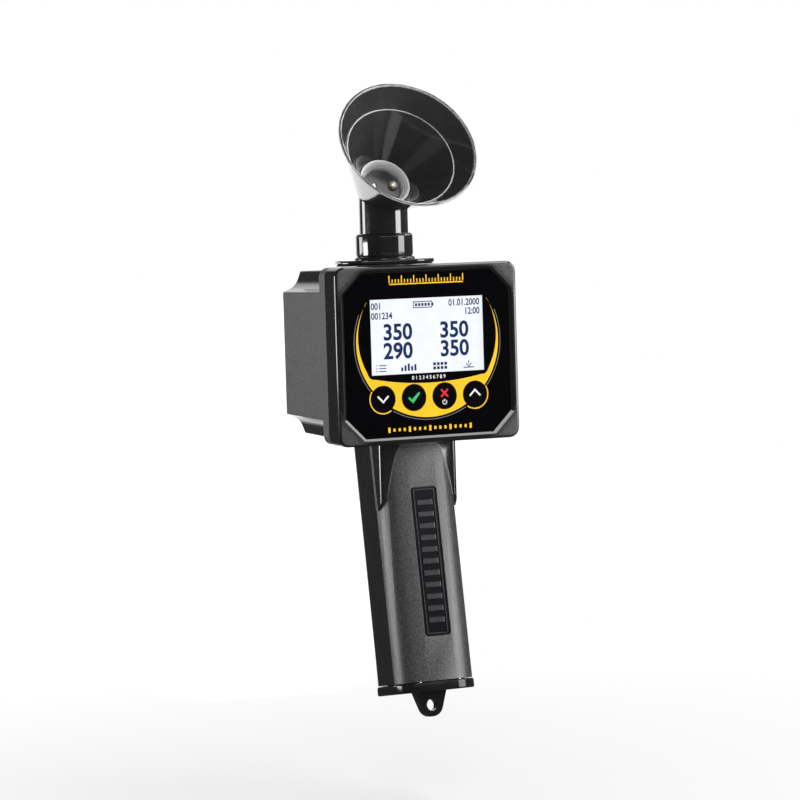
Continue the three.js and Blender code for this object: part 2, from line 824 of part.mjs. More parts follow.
function socketSeal() {
  const outline = stadium(socketLength - 2 * socketEdge, socketWidth - 2 * socketEdge);
  const ring = toSolid(plate(outline, gasketBottom, gasketBottom + socketGasket));
  return ring.subtract(post(spigotRadius + gap, 0, gasketBottom + runout, 0, 0, roundSteps));
}

// The touching point of the cone on the elbow ball, seen from the rim
function conePoint() {
  const rimHeight = cupReach - lipRadius;
  const distance = Math.hypot(mouthRadius, rimHeight);
  const angle = Math.atan2(rimHeight, mouthRadius) - Math.acos(elbowRadius / distance);
  return { angle, radius: elbowRadius * Math.cos(angle), height: elbowRadius * Math.sin(angle) };
}

const seatHeight = -chamberFloorThickness - gap;
const seatRadius = chamberFloorRadius + chamberWall;

function cupShell() {
  const touch = conePoint();
  const startAngle = -90;
  const endAngle = THREE.MathUtils.radToDeg(touch.angle);
  const ball = arcPoints(0, 0, elbowRadius, startAngle, endAngle).map((p) => [p.x, p.y]);
  ball[0][0] = 0;
  const lip = arcPoints(mouthRadius - lipRadius, cupReach - lipRadius, lipRadius, 0, 180)
    .map((p) => [p.x, p.y]);
  const stepHeight = cupReach - stepDepth;
  return toSolid(turned([
    ...ball,
    ...lip,
    [stepRadius + stepLedge, stepHeight],
    [stepRadius, stepHeight],
    [wellRadius, wellHeight],
    [seatRadius, seatHeight],
    [nutChamberRadius, seatHeight],
    [nutChamberRadius, -nutChamberDepth],
    [0, -nutChamberDepth],
  ], wideSteps));
}

function measuringCup() {
  const shell = new THREE.Matrix4().makeTranslation(0, 0, elbowHeight)
    .multiply(new THREE.Matrix4().makeRotationX(THREE.MathUtils.degToRad(cupTilt)));
  const cupSolid = cupShell().transform(shell.elements);
  const hollow = cupHollow().transform(shell.elements);
  const spigotBottom = neckBottom - spigotLength;
  const boreTop = neckBottom + neckBoreHeight;
  const wireTop = elbowHeight - wireBoreBelowElbow;
  const neck = toSolid(turned([
    [0, spigotBottom],
    [spigotRadius, spigotBottom],
    [spigotRadius, neckBottom],
    [neckRadius, neckBottom],
    [neckRadius, elbowHeight],
    [0, elbowHeight],
  ], wideSteps)).subtract(sealGroove()).subtract(hollow);
  const bore = toSolid(turned([
    [0, spigotBottom - runout],
    [spigotBoreRadius, spigotBottom - runout],
    [spigotBoreRadius, neckBottom + neckBoreFloor],
    [neckBoreRadius, neckBottom + neckBoreFloor],
    [neckBoreRadius, boreTop],
    [0, boreTop],
  ], roundSteps));
  const wireBore = post(wireBoreRadius, boreTop - runout, wireTop, 0, wireBoreBack);
  return cupSolid.add(neck).subtract(bore).subtract(wireBore);
}

// The space inside the cup down to the floor of the nut chamber, kept clear of the neck
function cupHollow() {
  return toSolid(turned([
    [0, -nutChamberDepth],
    [nutChamberRadius, -nutChamberDepth],
    [nutChamberRadius, seatHeight],
    [seatRadius, seatHeight],
    [wellRadius, wellHeight],
    [mouthRadius, cupReach],
    [0, cupReach],
  ], wideSteps));
}

function sealGroove() {
  const bottom = neckBottom + neckSealHeight;
  const top = bottom + neckSealGrooveHeight;
  const ring = post(neckRadius + runout, bottom, top, 0, 0, wideSteps);
  return ring.subtract(post(neckRadius - neckSealGroove, bottom - runout, top + runout, 0, 0, wideSteps));
}

function neckSealRing() {
  const middle = neckRadius - neckSealGroove + sealGap + neckSealRadius;
  const height = neckBottom + neckSealHeight + neckSealGrooveHeight / 2;
  const ring = new THREE.TorusGeometry(middle, neckSealRadius, wireSides, roundSteps);
  return toSolid(ring.translate(0, 0, height));
}

function lockNut() {
  const top = housingHeight / 2 * housingTaperShare - housingWall - gap;
  const nut = post(lockNutRadius, top - lockNutHeight, top, 0, 0, lockNutSides);
  return nut.subtract(post(spigotRadius + neckPlay, 0, top + runout, 0, 0, roundSteps));
}

function neckParts() {
  const parts = [
    ['cup_socket', cupSocket(), looks.gloss],
    ['socket_gasket', socketSeal(), looks.rubber],
    ['measuring_cup', measuringCup(), looks.gloss],
    ['neck_seal_ring', neckSealRing(), looks.rubber],
    ['neck_lock_nut', lockNut(), looks.nylon],
  ];
  for (const [name, solid, look] of parts) {
    add(box, name, solid, look).position.y = neckSetback;
  }
}

// The bowl at the bottom of the cone, with a fine step halfway up its wall
function chamberBase() {
  const rim = wellRadius - gap;
  const foot = seatRadius - gap;
  const inside = rim - chamberWall;
  const floorRadius = foot - chamberWall;
  const stepAt = wellHeight * chamberStepShare;
  const wallAt = THREE.MathUtils.lerp(floorRadius, inside, chamberStepShare);
  let solid = toSolid(turned([
    [0, -chamberFloorThickness],
    [foot, -chamberFloorThickness],
    [rim, wellHeight],
    [inside, wellHeight],
    [wallAt + chamberStep, stepAt],
    [wallAt, stepAt],
    [floorRadius, 0],
    [0, 0],
  ], wideSteps));
  for (const side of [-1, 1]) {
    const hole = electrodeShaft + electrodeHoleGap;
    solid = solid.subtract(post(hole, -runout, runout, side * electrodeSpread, 0));
  }
  return solid;
}

function electrode() {
  const cylinder = electrodeHeadHeight / 3;
  const domeArc = [];
  for (let i = 0; i <= cornerSteps; i++) {
    const angle = Math.PI / 2 * i / cornerSteps;
    const rise = (electrodeHeadHeight - cylinder) * Math.sin(angle);
    domeArc.push([electrodeHead * Math.cos(angle), cylinder + rise]);
  }
  domeArc[cornerSteps][0] = 0;
  const tip = chamberFloorThickness + sealGap + electrodeNutHeight + electrodeTail;
  return toSolid(turned([
    [0, -tip],
    [electrodeShaft, -tip],
    [electrodeShaft, 0],
    [electrodeHead, 0],
    ...domeArc,
  ], smallSteps));
}

function electrodeNutSolid() {
  const nut = post(electrodeNut, -electrodeNutHeight, 0, 0, 0, lockNutSides);
  return nut.subtract(post(electrodeShaft + threadClearance, -runout - electrodeNutHeight, runout));
}

function chamber() {
  add(cup, 'chamber_base', chamberBase(), looks.chamber);
  for (const [name, side] of [['left', -1], ['right', 1]]) {
    const pin = add(cup, `electrode_${name}`, electrode(), looks.gold);
    pin.position.set(side * electrodeSpread, 0, sealGap / 2);
    const nut = add(cup, `electrode_nut_${name}`, electrodeNutSolid(), looks.steel);
    nut.position.set(side * electrodeSpread, 0, -chamberFloorThickness - sealGap);
  }
}

// A lead along its real route; the points are in the frame of the whole detector
function lead(points) {
  const curve = new THREE.CatmullRomCurve3(points, false, 'centripetal');
  const section = new THREE.Shape();
  section.absarc(0, 0, leadRadius, 0, 2 * Math.PI);
  const steps = 4 * (points.length - 1);
  return toSolid(new THREE.ExtrudeGeometry(section, {
    steps,
    extrudePath: curve,
    curveSegments: wireSides / 2,
    bevelEnabled: false,
  }));
}

const leadPitch = 2 * leadRadius + gap;

function inBox(x, y, z) {
  return box.localToWorld(new THREE.Vector3(x, y, z));
}

function electrodeLeads() {
  const nutBack = -chamberFloorThickness - electrodeNutHeight - electrodeTail - 2 * gap;
  const plugBack = partsFront + connectorDepth + gap;
  for (const [name, side] of [['left', -1], ['right', 1]]) {
    const x = side * leadPitch;
    const plugX = connectorAside + side * leadPitch;
    const solid = lead([
      cup.localToWorld(new THREE.Vector3(side * electrodeSpread, 0, nutBack)),
      inBox(side * electrodeSpread / 2, neckSetback + wireBoreBack, elbowHeight - elbowRadius),
      inBox(x, neckSetback, neckBottom + neckBoreHeight / 2),
      inBox(x, neckSetback, neckBottom - spigotLength - leadBend),
      inBox((x + plugX) / 2, (neckSetback + plugBack) / 2, -connectorDrop / 3),
      inBox(plugX, plugBack + leadBend, -connectorDrop),
      inBox(plugX, plugBack, -connectorDrop),
    ]);
    add(detector, `electrode_lead_${name}`, solid, side < 0 ? looks.black : looks.red);
  }
}

// The handle: a leaning grip with a rounded front, met by an upright square shoulder
function gripOutline(inset = 0) {
  const [width, depth] = [gripWidth - 2 * inset, gripDepth - 2 * inset];
  return rounded(width, depth, gripRearRadius - inset, gripFrontRadius - inset);
}

// The upright shoulder: its lower end slopes back and down into the rounded front of the grip
function shoulder() {
  const front = shoulderFront - gripBehindFace;
  const top = gripBelowBox + handleTop;
  const bottom = top - shoulderDrop;
  const block = plate(rounded(gripWidth, gripDepth, shoulderCorner), bottom, top + runout);
  const wedge = new THREE.Shape([
    new THREE.Vector2(-runout, -runout),
    new THREE.Vector2(shoulderBevelDepth, -runout),
    new THREE.Vector2(shoulderBevelDepth, 0),
    new THREE.Vector2(0, shoulderBevelRise),
    new THREE.Vector2(-runout, shoulderBevelRise),
  ]);
  const cutter = new THREE.ExtrudeGeometry(wedge, { depth: gripWidth + 2 * runout, bevelEnabled: false });
  cutter.rotateX(Math.PI / 2);
  cutter.rotateZ(Math.PI / 2);
  cutter.translate(-gripWidth / 2 - runout, front, bottom);
  const behind = brick(
    [-gripWidth, gripWidth],
    [front + gripDepth / 2, front + 2 * gripDepth],
    [bottom - runout, top + 2 * runout],
  );
  const solid = toSolid(block.translate(0, front + gripDepth / 2, 0));
  return solid.subtract(toSolid(cutter)).subtract(behind);
}

const bayFloor = -gripBelow;
const batteryBottom = bayFloor + skirtHeight + 2 * gap;
const batteryTop = batteryBottom + batteryLength;
const snapBottom = batteryTop + terminalHeight + gap;
const snapTop = snapBottom + snapHeight;
const bayTop = snapTop + 2 * gap;

function handle() {
  const lean = new THREE.Matrix4().makeRotationX(-THREE.MathUtils.degToRad(gripLean));
  const reach = gripTopAlong() + gripDepth / 2;
  const bay = plate(rounded(bayWidth, bayDepth, bayCorner), bayFloor - runout, bayTop);
  let inner = toSolid(bay.translate(0, bayBack, 0));
  inner = inner.add(post(wireChannelRadius, bayTop - runout, reach + runout, 0, 0, roundSteps));
  for (const side of [-1, 1]) {
    const hole = capScrewShaft + threadClearance;
    const x = side * capScrewSpread / 2;
    inner = inner.add(post(hole, bayFloor - runout, bayFloor + capScrewBite + gap, x, -capScrewForward));
  }
  inner = inner.add(labelCutter());
  let solid = toSolid(plate(gripOutline(), -gripBelow, reach)).transform(lean.elements);
  solid = solid.add(shoulder()).subtract(inner.transform(lean.elements));
  const top = gripBelowBox + handleTop;
  solid = solid.subtract(brick([-gripWidth, gripWidth], [-coverHeight, coverHeight], [top, top + reach]));
  const screwY = onGripAxis(gripTopAlong()).y - gripBehindFace;
  for (const side of [-1, 1]) {
    const x = side * handleScrewAcross / 2;
    const hole = handleScrewShaft + threadClearance;
    solid = solid.subtract(post(hole, top - handleScrewBite - gap, top + runout, x, screwY));
  }
  return solid;
}

function labelCutter() {
  const height = labelBelow + labelAbove;
  const front = -gripDepth / 2;
  const outline = rounded(labelWidth + 2 * gap, height + 2 * gap, labelCorner + gap);
  const geometry = slab(outline, front - runout, front + labelRecess);
  return toSolid(geometry.translate(0, 0, (labelAbove - labelBelow) / 2));
}

function gripLabel() {
  const height = labelBelow + labelAbove;
  const floor = -gripDepth / 2 + labelRecess;
  const outline = rounded(labelWidth, height, labelCorner);
  const geometry = slab(outline, floor - sealGap - labelThickness, floor - sealGap);
  return toSolid(geometry.translate(0, 0, (labelAbove - labelBelow) / 2));
}

function handleScrews() {
  const wallInside = housingWall - housingHeight / 2;
  const seat = wallInside + gap;
  const y = onGripAxis(gripTopAlong()).y;
  for (const [name, side] of [['left', -1], ['right', 1]]) {
    const length = seat - handleTop + handleScrewBite;
    const solid = screw(handleScrewHead, handleScrewHeadHeight, handleScrewShaft, length);
    const fastener = add(box, `handle_screw_${name}`, solid, looks.steel);
    fastener.position.set(side * handleScrewAcross / 2, y, seat);
  }
}

function battery() {
  let solid = toSolid(plate(rounded(batteryWidth, batteryDepth, batteryEdge), batteryBottom, batteryTop));
  for (const side of [-1, 1]) {
    const x = side * terminalSpread / 2;
    solid = solid.add(post(terminalRadius, batteryTop - gap, batteryTop + terminalHeight, x));
  }
  return solid;
}

function batteryParts() {
  const y = bayBack - foamThickness / 2 - gap / 2;
  add(grip, 'battery', battery(), looks.battery).position.y = y;
  const snap = toSolid(plate(rounded(snapWidth, snapDepth, batteryEdge), snapBottom, snapTop));
  add(grip, 'battery_snap', snap, looks.black).position.y = y;
  const foamFront = y + batteryDepth / 2 + sealGap;
  const foam = brick(
    [-batteryWidth / 2, batteryWidth / 2],
    [foamFront, foamFront + foamThickness],
    [batteryBottom, batteryTop],
  );
  add(grip, 'battery_foam', foam, looks.foam);
  const plugBack = partsFront + connectorDepth + gap;
  const inGrip = (x, along) => grip.localToWorld(new THREE.Vector3(x, 0, along));
  for (const [name, side] of [['black', -1], ['red', 1]]) {
    const x = side * leadPitch;
    const plugX = x - connectorAside;
    const solid = lead([
      inGrip(x, snapTop + gap),
      inGrip(x, (snapTop + gripTopAlong()) / 2),
      inGrip(x, gripTopAlong() + leadBend),
      inBox(plugX, plugBack + leadBend, -connectorDrop),
      inBox(plugX, plugBack, -connectorDrop),
    ]);
    add(detector, `battery_lead_${name}`, solid, looks[name]);
  }
}

const capTop = bayFloor - gap;
const capBottom = capTop - capThickness;

// A plate with the section of the grip, a skirt that enters the battery bay and the lanyard eye
function batteryCap() {
  let solid = toSolid(plate(gripOutline(-capProud), capBottom, capTop, capEdge));
  const skirtTop = bayFloor + skirtHeight;
  solid = solid.add(bayBlock(-gap, capTop - capEdge, skirtTop));
  solid = solid.subtract(bayBlock(-gap - skirtWall, capTop, skirtTop + runout));
  const groove = capSealRing(sealGap, capTop - capSealThickness, capTop + runout);
  solid = solid.subtract(groove);
  for (const side of [-1, 1]) {
    const x = side * capScrewSpread / 2;
    const below = capBottom - runout;
    const seat = capBottom + capScrewHeadHeight + gap;
    solid = solid.subtract(post(capScrewShaft + gap, below, capTop + runout, x, -capScrewForward));
    solid = solid.subtract(post(capScrewHead + gap, below, seat, x, -capScrewForward));
  }
  return solid.add(lug()).subtract(eye());
}

// A block with the section of the battery bay, drawn larger all round
function bayBlock(grow, bottom, top) {
  const corner = Math.max(bayCorner + grow, gap);
  const outline = rounded(bayWidth + 2 * grow, bayDepth + 2 * grow, corner);
  return toSolid(plate(outline, bottom, top).translate(0, bayBack, 0));
}

// The flat seal around the skirt, or the groove that holds it when drawn larger
function capSealRing(grow, bottom, top) {
  const hole = bayBlock(capSealInset - grow, bottom - runout, top + runout);
  return bayBlock(capSealInset + capSealWidth + grow, bottom, top).subtract(hole);
}

function lug() {
  const centre = capBottom - lugDrop;
  const outline = new THREE.Shape([
    new THREE.Vector2(lugTopWidth / 2, capBottom + gap),
    new THREE.Vector2(-lugTopWidth / 2, capBottom + gap),
    ...arcPoints(0, centre, lugEndRadius, 200, 270),
    ...arcPoints(0, centre, lugEndRadius, 270, 340).slice(1),
  ]);
  return toSolid(slab(outline, -lugThickness / 2, lugThickness / 2));
}

function eye() {
  return rod(eyeRadius, -lugThickness, lugThickness, 0, capBottom - lugDrop, roundSteps);
}

function capParts() {
  add(grip, 'battery_cap', batteryCap(), looks.gloss);
  const seal = capSealRing(0, capTop - capSealThickness + sealGap, capTop + sealGap);
  add(grip, 'cap_seal', seal, looks.rubber);
  for (const [name, side] of [['left', -1], ['right', 1]]) {
    const length = capThickness - capScrewHeadHeight - gap + capScrewBite;
    const solid = screw(capScrewHead, capScrewHeadHeight, capScrewShaft, length);
    const fastener = add(grip, `cap_screw_${name}`, solid, looks.steel);
    fastener.position.set(side * capScrewSpread / 2, -capScrewForward, capBottom + capScrewHeadHeight);
    fastener.rotation.x = Math.PI;
  }
}

add(box, 'front_cover', frontCover(), looks.cover);
keypad();
display();
mainBoard();
add(box, 'rear_housing', rearHousing(), looks.housing);
add(box, 'housing_seal', housingSeal(), looks.rubber);
housingScrews();
neckParts();
chamber();
electrodeLeads();
add(detector, 'handle', handle(), looks.grip);
add(grip, 'grip_label', gripLabel(), looks.label);
handleScrews();
batteryParts();
capParts();

export default detector;
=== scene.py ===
import json
import math

import bmesh
import bpy
from mathutils import Matrix, Vector

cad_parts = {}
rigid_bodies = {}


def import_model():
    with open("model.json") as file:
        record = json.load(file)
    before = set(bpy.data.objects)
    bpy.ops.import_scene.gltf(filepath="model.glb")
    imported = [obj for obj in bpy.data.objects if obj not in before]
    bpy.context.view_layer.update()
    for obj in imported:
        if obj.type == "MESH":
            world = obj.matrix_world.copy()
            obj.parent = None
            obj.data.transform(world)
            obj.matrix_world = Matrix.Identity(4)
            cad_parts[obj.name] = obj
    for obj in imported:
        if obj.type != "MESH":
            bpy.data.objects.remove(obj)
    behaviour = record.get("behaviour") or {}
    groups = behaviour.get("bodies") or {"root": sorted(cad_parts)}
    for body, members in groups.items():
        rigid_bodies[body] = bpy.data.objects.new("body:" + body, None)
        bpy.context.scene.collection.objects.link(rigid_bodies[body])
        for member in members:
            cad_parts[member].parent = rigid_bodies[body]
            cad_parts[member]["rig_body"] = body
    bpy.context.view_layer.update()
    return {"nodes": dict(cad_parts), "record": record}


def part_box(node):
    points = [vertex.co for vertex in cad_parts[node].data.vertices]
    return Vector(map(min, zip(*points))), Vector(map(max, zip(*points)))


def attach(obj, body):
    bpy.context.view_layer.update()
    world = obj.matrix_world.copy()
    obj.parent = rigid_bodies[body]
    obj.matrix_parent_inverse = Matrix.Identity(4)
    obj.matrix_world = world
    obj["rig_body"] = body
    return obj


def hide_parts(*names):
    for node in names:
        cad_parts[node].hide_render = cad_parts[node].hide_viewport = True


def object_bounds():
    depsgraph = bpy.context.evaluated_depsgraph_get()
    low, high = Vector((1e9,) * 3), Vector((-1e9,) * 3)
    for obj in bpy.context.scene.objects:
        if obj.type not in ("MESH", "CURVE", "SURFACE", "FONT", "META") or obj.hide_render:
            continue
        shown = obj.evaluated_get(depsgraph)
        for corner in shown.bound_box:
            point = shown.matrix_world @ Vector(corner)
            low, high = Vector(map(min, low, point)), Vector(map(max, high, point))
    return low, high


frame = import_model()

nodes = frame["nodes"]
scene = bpy.context.scene
scene.view_settings.view_transform = "Standard"
mm = 0.001

headPlace = {"setBack": 16.9, "height": 100.3}   # the head's front, from the origin in the grip
inkLay = 0.03   # thickness of a print, in millimetres


def headPoint(x, y, z):
    # millimetres measured from the middle of the instrument head's front
    return Vector((x, y - headPlace["setBack"], z + headPlace["height"])) * mm


def newObject(name, data, material=None):
    piece = bpy.data.objects.new(name, data)
    scene.collection.objects.link(piece)
    if material:
        data.materials.clear()
        data.materials.append(material)
    return piece


def evaluatedMesh(piece):
    bpy.context.view_layer.update()
    graph = bpy.context.evaluated_depsgraph_get()
    return bpy.data.meshes.new_from_object(piece.evaluated_get(graph))


def meshOf(bm, name):
    mesh = bpy.data.meshes.new(name)
    bm.to_mesh(mesh)
    bm.free()
    return mesh


def curveMesh(curve, mergeDistance):
    # a curve or a text as a mesh without doubled points
    holder = newObject("holder", curve)
    bm = bmesh.new()
    bm.from_mesh(evaluatedMesh(holder))
    bpy.data.objects.remove(holder)
    bmesh.ops.remove_doubles(bm, verts=bm.verts, dist=mergeDistance)
    bmesh.ops.recalc_face_normals(bm, faces=bm.faces)
    return meshOf(bm, curve.name)


def flatMesh(shapes):
    # each shape is an outline with its holes, filled as a 2D curve, in millimetres
    joined = bmesh.new()
    for outlines in shapes:
        curve = bpy.data.curves.new("flat", "CURVE")
        curve.dimensions = "2D"
        curve.fill_mode = "BOTH"
        curve.extrude = inkLay / 2
        for outline in outlines:
            spline = curve.splines.new("POLY")
            spline.points.add(len(outline) - 1)
            for point, (x, y) in zip(spline.points, outline):
                point.co = (x, y, 0, 1)
            spline.use_cyclic_u = True
        joined.from_mesh(curveMesh(curve, 0.002))
    return meshOf(joined, "flat")


def textMesh(text, height, width, weight, align="CENTER"):
    words = bpy.data.curves.new("text", "FONT")
    words.body = text
    words.size = height / 0.72  # the font's figures are 0.72 of its size
    words.extrude = inkLay / 2
    words.offset = weight
    words.align_x = align
    words.align_y = "CENTER"
    words.resolution_u = 4
    mesh = curveMesh(words, 0.0005)
    mesh.transform(Matrix.Diagonal((width, 1, 1, 1)))
    return mesh


def printOn(name, mesh, x, z, front, material, body="detector"):
    # lays a flat print on a face that looks to the front
    up = Matrix.Rotation(math.radians(90), 4, "X")
    mesh.transform(Matrix.Translation(headPoint(x, front - inkLay / 2, z)) @ Matrix.Scale(mm, 4) @ up)
    piece = newObject(name, mesh, material)
    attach(piece, body)
    return piece


def circle(x, z, radius, steps=64, start=0.0, turn=360.0):
    # a full circle, or an arc with both of its ends
    count = steps if abs(turn) >= 360 else steps + 1
    angles = [math.radians(start + turn * step / steps) for step in range(count)]
    return [(x + radius * math.cos(angle), z + radius * math.sin(angle)) for angle in angles]


def block(left, bottom, right, top):
    return [(left, bottom), (right, bottom), (right, top), (left, top)]


def stroke(points, width):
    # the outline of a line of even width drawn through the points
    leftSide, rightSide = [], []
    for index, (x, y) in enumerate(points):
        before = points[max(index - 1, 0)]
        after = points[min(index + 1, len(points) - 1)]
        run = Vector((after[0] - before[0], after[1] - before[1])).normalized()
        reach = width / 2
        if 0 < index < len(points) - 1:
            first = Vector((x - before[0], y - before[1])).normalized()
            reach = reach / max(abs(first.dot(run)), 0.5)  # a sharp turn grows no long tip
        leftSide.append((x - run.y * reach, y + run.x * reach))
        rightSide.append((x + run.y * reach, y - run.x * reach))
    return leftSide + rightSide[::-1]


class NodeTree:
    # adds nodes to one tree and joins them up
    def __init__(self, tree):
        self.tree = tree
        tree.nodes.clear()

    def add(self, kind):
        return self.tree.nodes.new(kind)

    def join(self, source, target):
        self.tree.links.new(source, target)

    def feed(self, sockets, values):
        # each value is an output to join, or a number or vector to set
        for socket, value in zip(sockets, values):
            if hasattr(value, "links"):
                self.join(value, socket)
            else:
                socket.default_value = value

    def math(self, operation, first, second=0.0, third=0.0):
        node = self.add("ShaderNodeMath")
        node.operation = operation
        self.feed(node.inputs, (first, second, third))
        return node.outputs["Value"]

    def plus(self, first, second):
        return self.math("ADD", first, second)

    def minus(self, first, second):
        return self.math("SUBTRACT", first, second)

    def times(self, first, second):
        return self.math("MULTIPLY", first, second)

    def most(self, first, second):
        return self.math("MAXIMUM", first, second)

    def size(self, value):
        return self.math("ABSOLUTE", value)

    def vector(self, operation, first, second=(0, 0, 0), result="Vector"):
        node = self.add("ShaderNodeVectorMath")
        node.operation = operation
        self.feed(node.inputs, (first, second))
        return node.outputs[result]

    def range(self, value, low, high, fromLow=0.3, fromHigh=0.7):
        node = self.add("ShaderNodeMapRange")
        names = ("Value", "From Min", "From Max", "To Min", "To Max")
        self.feed([node.inputs[name] for name in names], (value, fromLow, fromHigh, low, high))
        return node.outputs["Result"]


class Recipe(NodeTree):
    # the nodes of one material
    def __init__(self, name, **values):
        self.material = bpy.data.materials.new(name)
        self.material.use_nodes = True
        super().__init__(self.material.node_tree)
        self.output = self.add("ShaderNodeOutputMaterial")
        self.shader = self.add("ShaderNodeBsdfPrincipled")
        self.join(self.shader.outputs["BSDF"], self.output.inputs["Surface"])
        self.place = self.add("ShaderNodeTexCoord").outputs["Object"]
        sockets = {"ior": "IOR", "specular": "Specular IOR Level", "emission": "Emission Strength"}
        for key, value in values.items():
            self.shader.inputs[sockets.get(key, key.capitalize())].default_value = value

    def mapped(self, move=(0, 0, 0), turn=(0, 0, 0), scale=(1, 1, 1)):
        mapping = self.add("ShaderNodeMapping")
        mapping.vector_type = "TEXTURE"
        mapping.inputs["Location"].default_value = move
        mapping.inputs["Rotation"].default_value = [math.radians(angle) for angle in turn]
        mapping.inputs["Scale"].default_value = scale
        self.join(self.place, mapping.inputs["Vector"])
        return mapping.outputs["Vector"]

    def own(self, **mapping):
        # the X, Y and Z of a place in the piece's own directions
        node = self.add("ShaderNodeSeparateXYZ")
        self.join(self.mapped(**mapping), node.inputs["Vector"])
        return [node.outputs[axis] for axis in "XYZ"]

    def texture(self, kind, grain, place=None):
        # grain is the size of a mottle in millimetres
        node = self.add(kind)
        node.inputs["Scale"].default_value = 1 / (grain * mm)
        self.join(place or self.place, node.inputs["Vector"])
        return node

    def noise(self, grain, detail=2.0, rough=0.5, place=None):
        node = self.texture("ShaderNodeTexNoise", grain, place)
        node.inputs["Detail"].default_value = detail
        node.inputs["Roughness"].default_value = rough
        return node.outputs["Fac"]

    def cells(self, grain):
        return self.texture("ShaderNodeTexVoronoi", grain).outputs["Distance"]

    def waves(self, pitch, direction="X", distortion=0.0):
        node = self.texture("ShaderNodeTexWave", pitch / 0.31416)  # a wave of scale 1 is 0.31416 long
        node.bands_direction = direction
        node.inputs["Distortion"].default_value = distortion
        return node.outputs["Fac"]

    def past(self, value, edge, soft):
        # 0 before the edge and 1 past it, with a soft border, in millimetres
        return self.range(value, 0, 1, (edge - soft) * mm, (edge + soft) * mm)

    def before(self, value, edge, soft):
        return self.range(value, 1, 0, (edge - soft) * mm, (edge + soft) * mm)

    def length(self, first, second):
        return self.math("SQRT", self.plus(self.times(first, first), self.times(second, second)))

    def beyond(self, value, limit):
        # how far the value lies past the limit, in metres
        return self.most(self.minus(value, limit * mm), 0.0)

    def ramp(self, value, *stops):
        node = self.add("ShaderNodeValToRGB")
        elements = node.color_ramp.elements
        while len(elements) < len(stops):
            elements.new(0.5)
        for element, (position, colour) in zip(elements, stops):
            element.position = position
            element.color = (*colour, 1)
        self.join(value, node.inputs["Fac"])
        return node.outputs["Color"]

    def between(self, value, dark, light, width=0.2):
        return self.ramp(value, (0.5 - width, dark), (0.5 + width, light))

    def tint(self, value, colour, spread, width=0.2):
        # a colour that goes darker and lighter by its spread
        return self.between(value, shade(colour, 1 - spread), shade(colour, 1 + spread), width)

    def blend(self, share, first, second):
        node = self.add("ShaderNodeMix")
        node.data_type = "RGBA"
        colours = [value if hasattr(value, "links") else (*value, 1) for value in (first, second)]
        self.feed((node.inputs["Factor"], node.inputs[6], node.inputs[7]), (share, *colours))
        return node.outputs[2]

    def bump(self, height, depth, under=None):
        # depth is the relief in millimetres
        node = self.add("ShaderNodeBump")
        node.inputs["Distance"].default_value = depth * mm
        self.join(height, node.inputs["Height"])
        if under:
            self.join(under, node.inputs["Normal"])
        return node.outputs["Normal"]

    def grained(self, mask, field, polished, fleck, gloss, depth):
        # a grained field inside a polished skin: gloss is (polished, grained, flecks)
        smooth, rough, flecks = gloss
        shine = self.plus(self.range(mask, smooth, rough, 0, 1), self.times(self.range(fleck, 0, flecks), mask))
        relief = self.bump(self.times(fleck, mask), depth)
        return self.finish(self.blend(mask, polished, field), shine, relief)

    def finish(self, colour=None, roughness=None, normal=None):
        for value, socket in ((colour, "Base Color"), (roughness, "Roughness"), (normal, "Normal")):
            if value:
                self.join(value, self.shader.inputs[socket])
        return self.material


def shade(colour, factor):
    return tuple(min(part * factor, 1) for part in colour)


def mouldedPlastic(name, look):
    # a moulded plastic: faint flow mottling, fine grain and a few handling marks
    recipe = Recipe(name, ior=1.49, specular=look.get("specular", 0.5))
    tint = recipe.tint(recipe.noise(look["mottle"], 3), look["colour"], look["spread"])
    grain = recipe.noise(look["grain"], 2, 0.6)
    marks = recipe.noise(look["mottle"] * 0.4, 4, 0.65)
    gloss = recipe.plus(recipe.range(grain, look["smooth"], look["rough"]),
                        recipe.range(marks, 0, look["marks"], 0.55, 0.75))
    relief = recipe.bump(grain, look["depth"])
    if look.get("wave"):
        relief = recipe.bump(recipe.noise(look["wave"], 1), look["waveDepth"], relief)
    return recipe.finish(tint, gloss, relief)


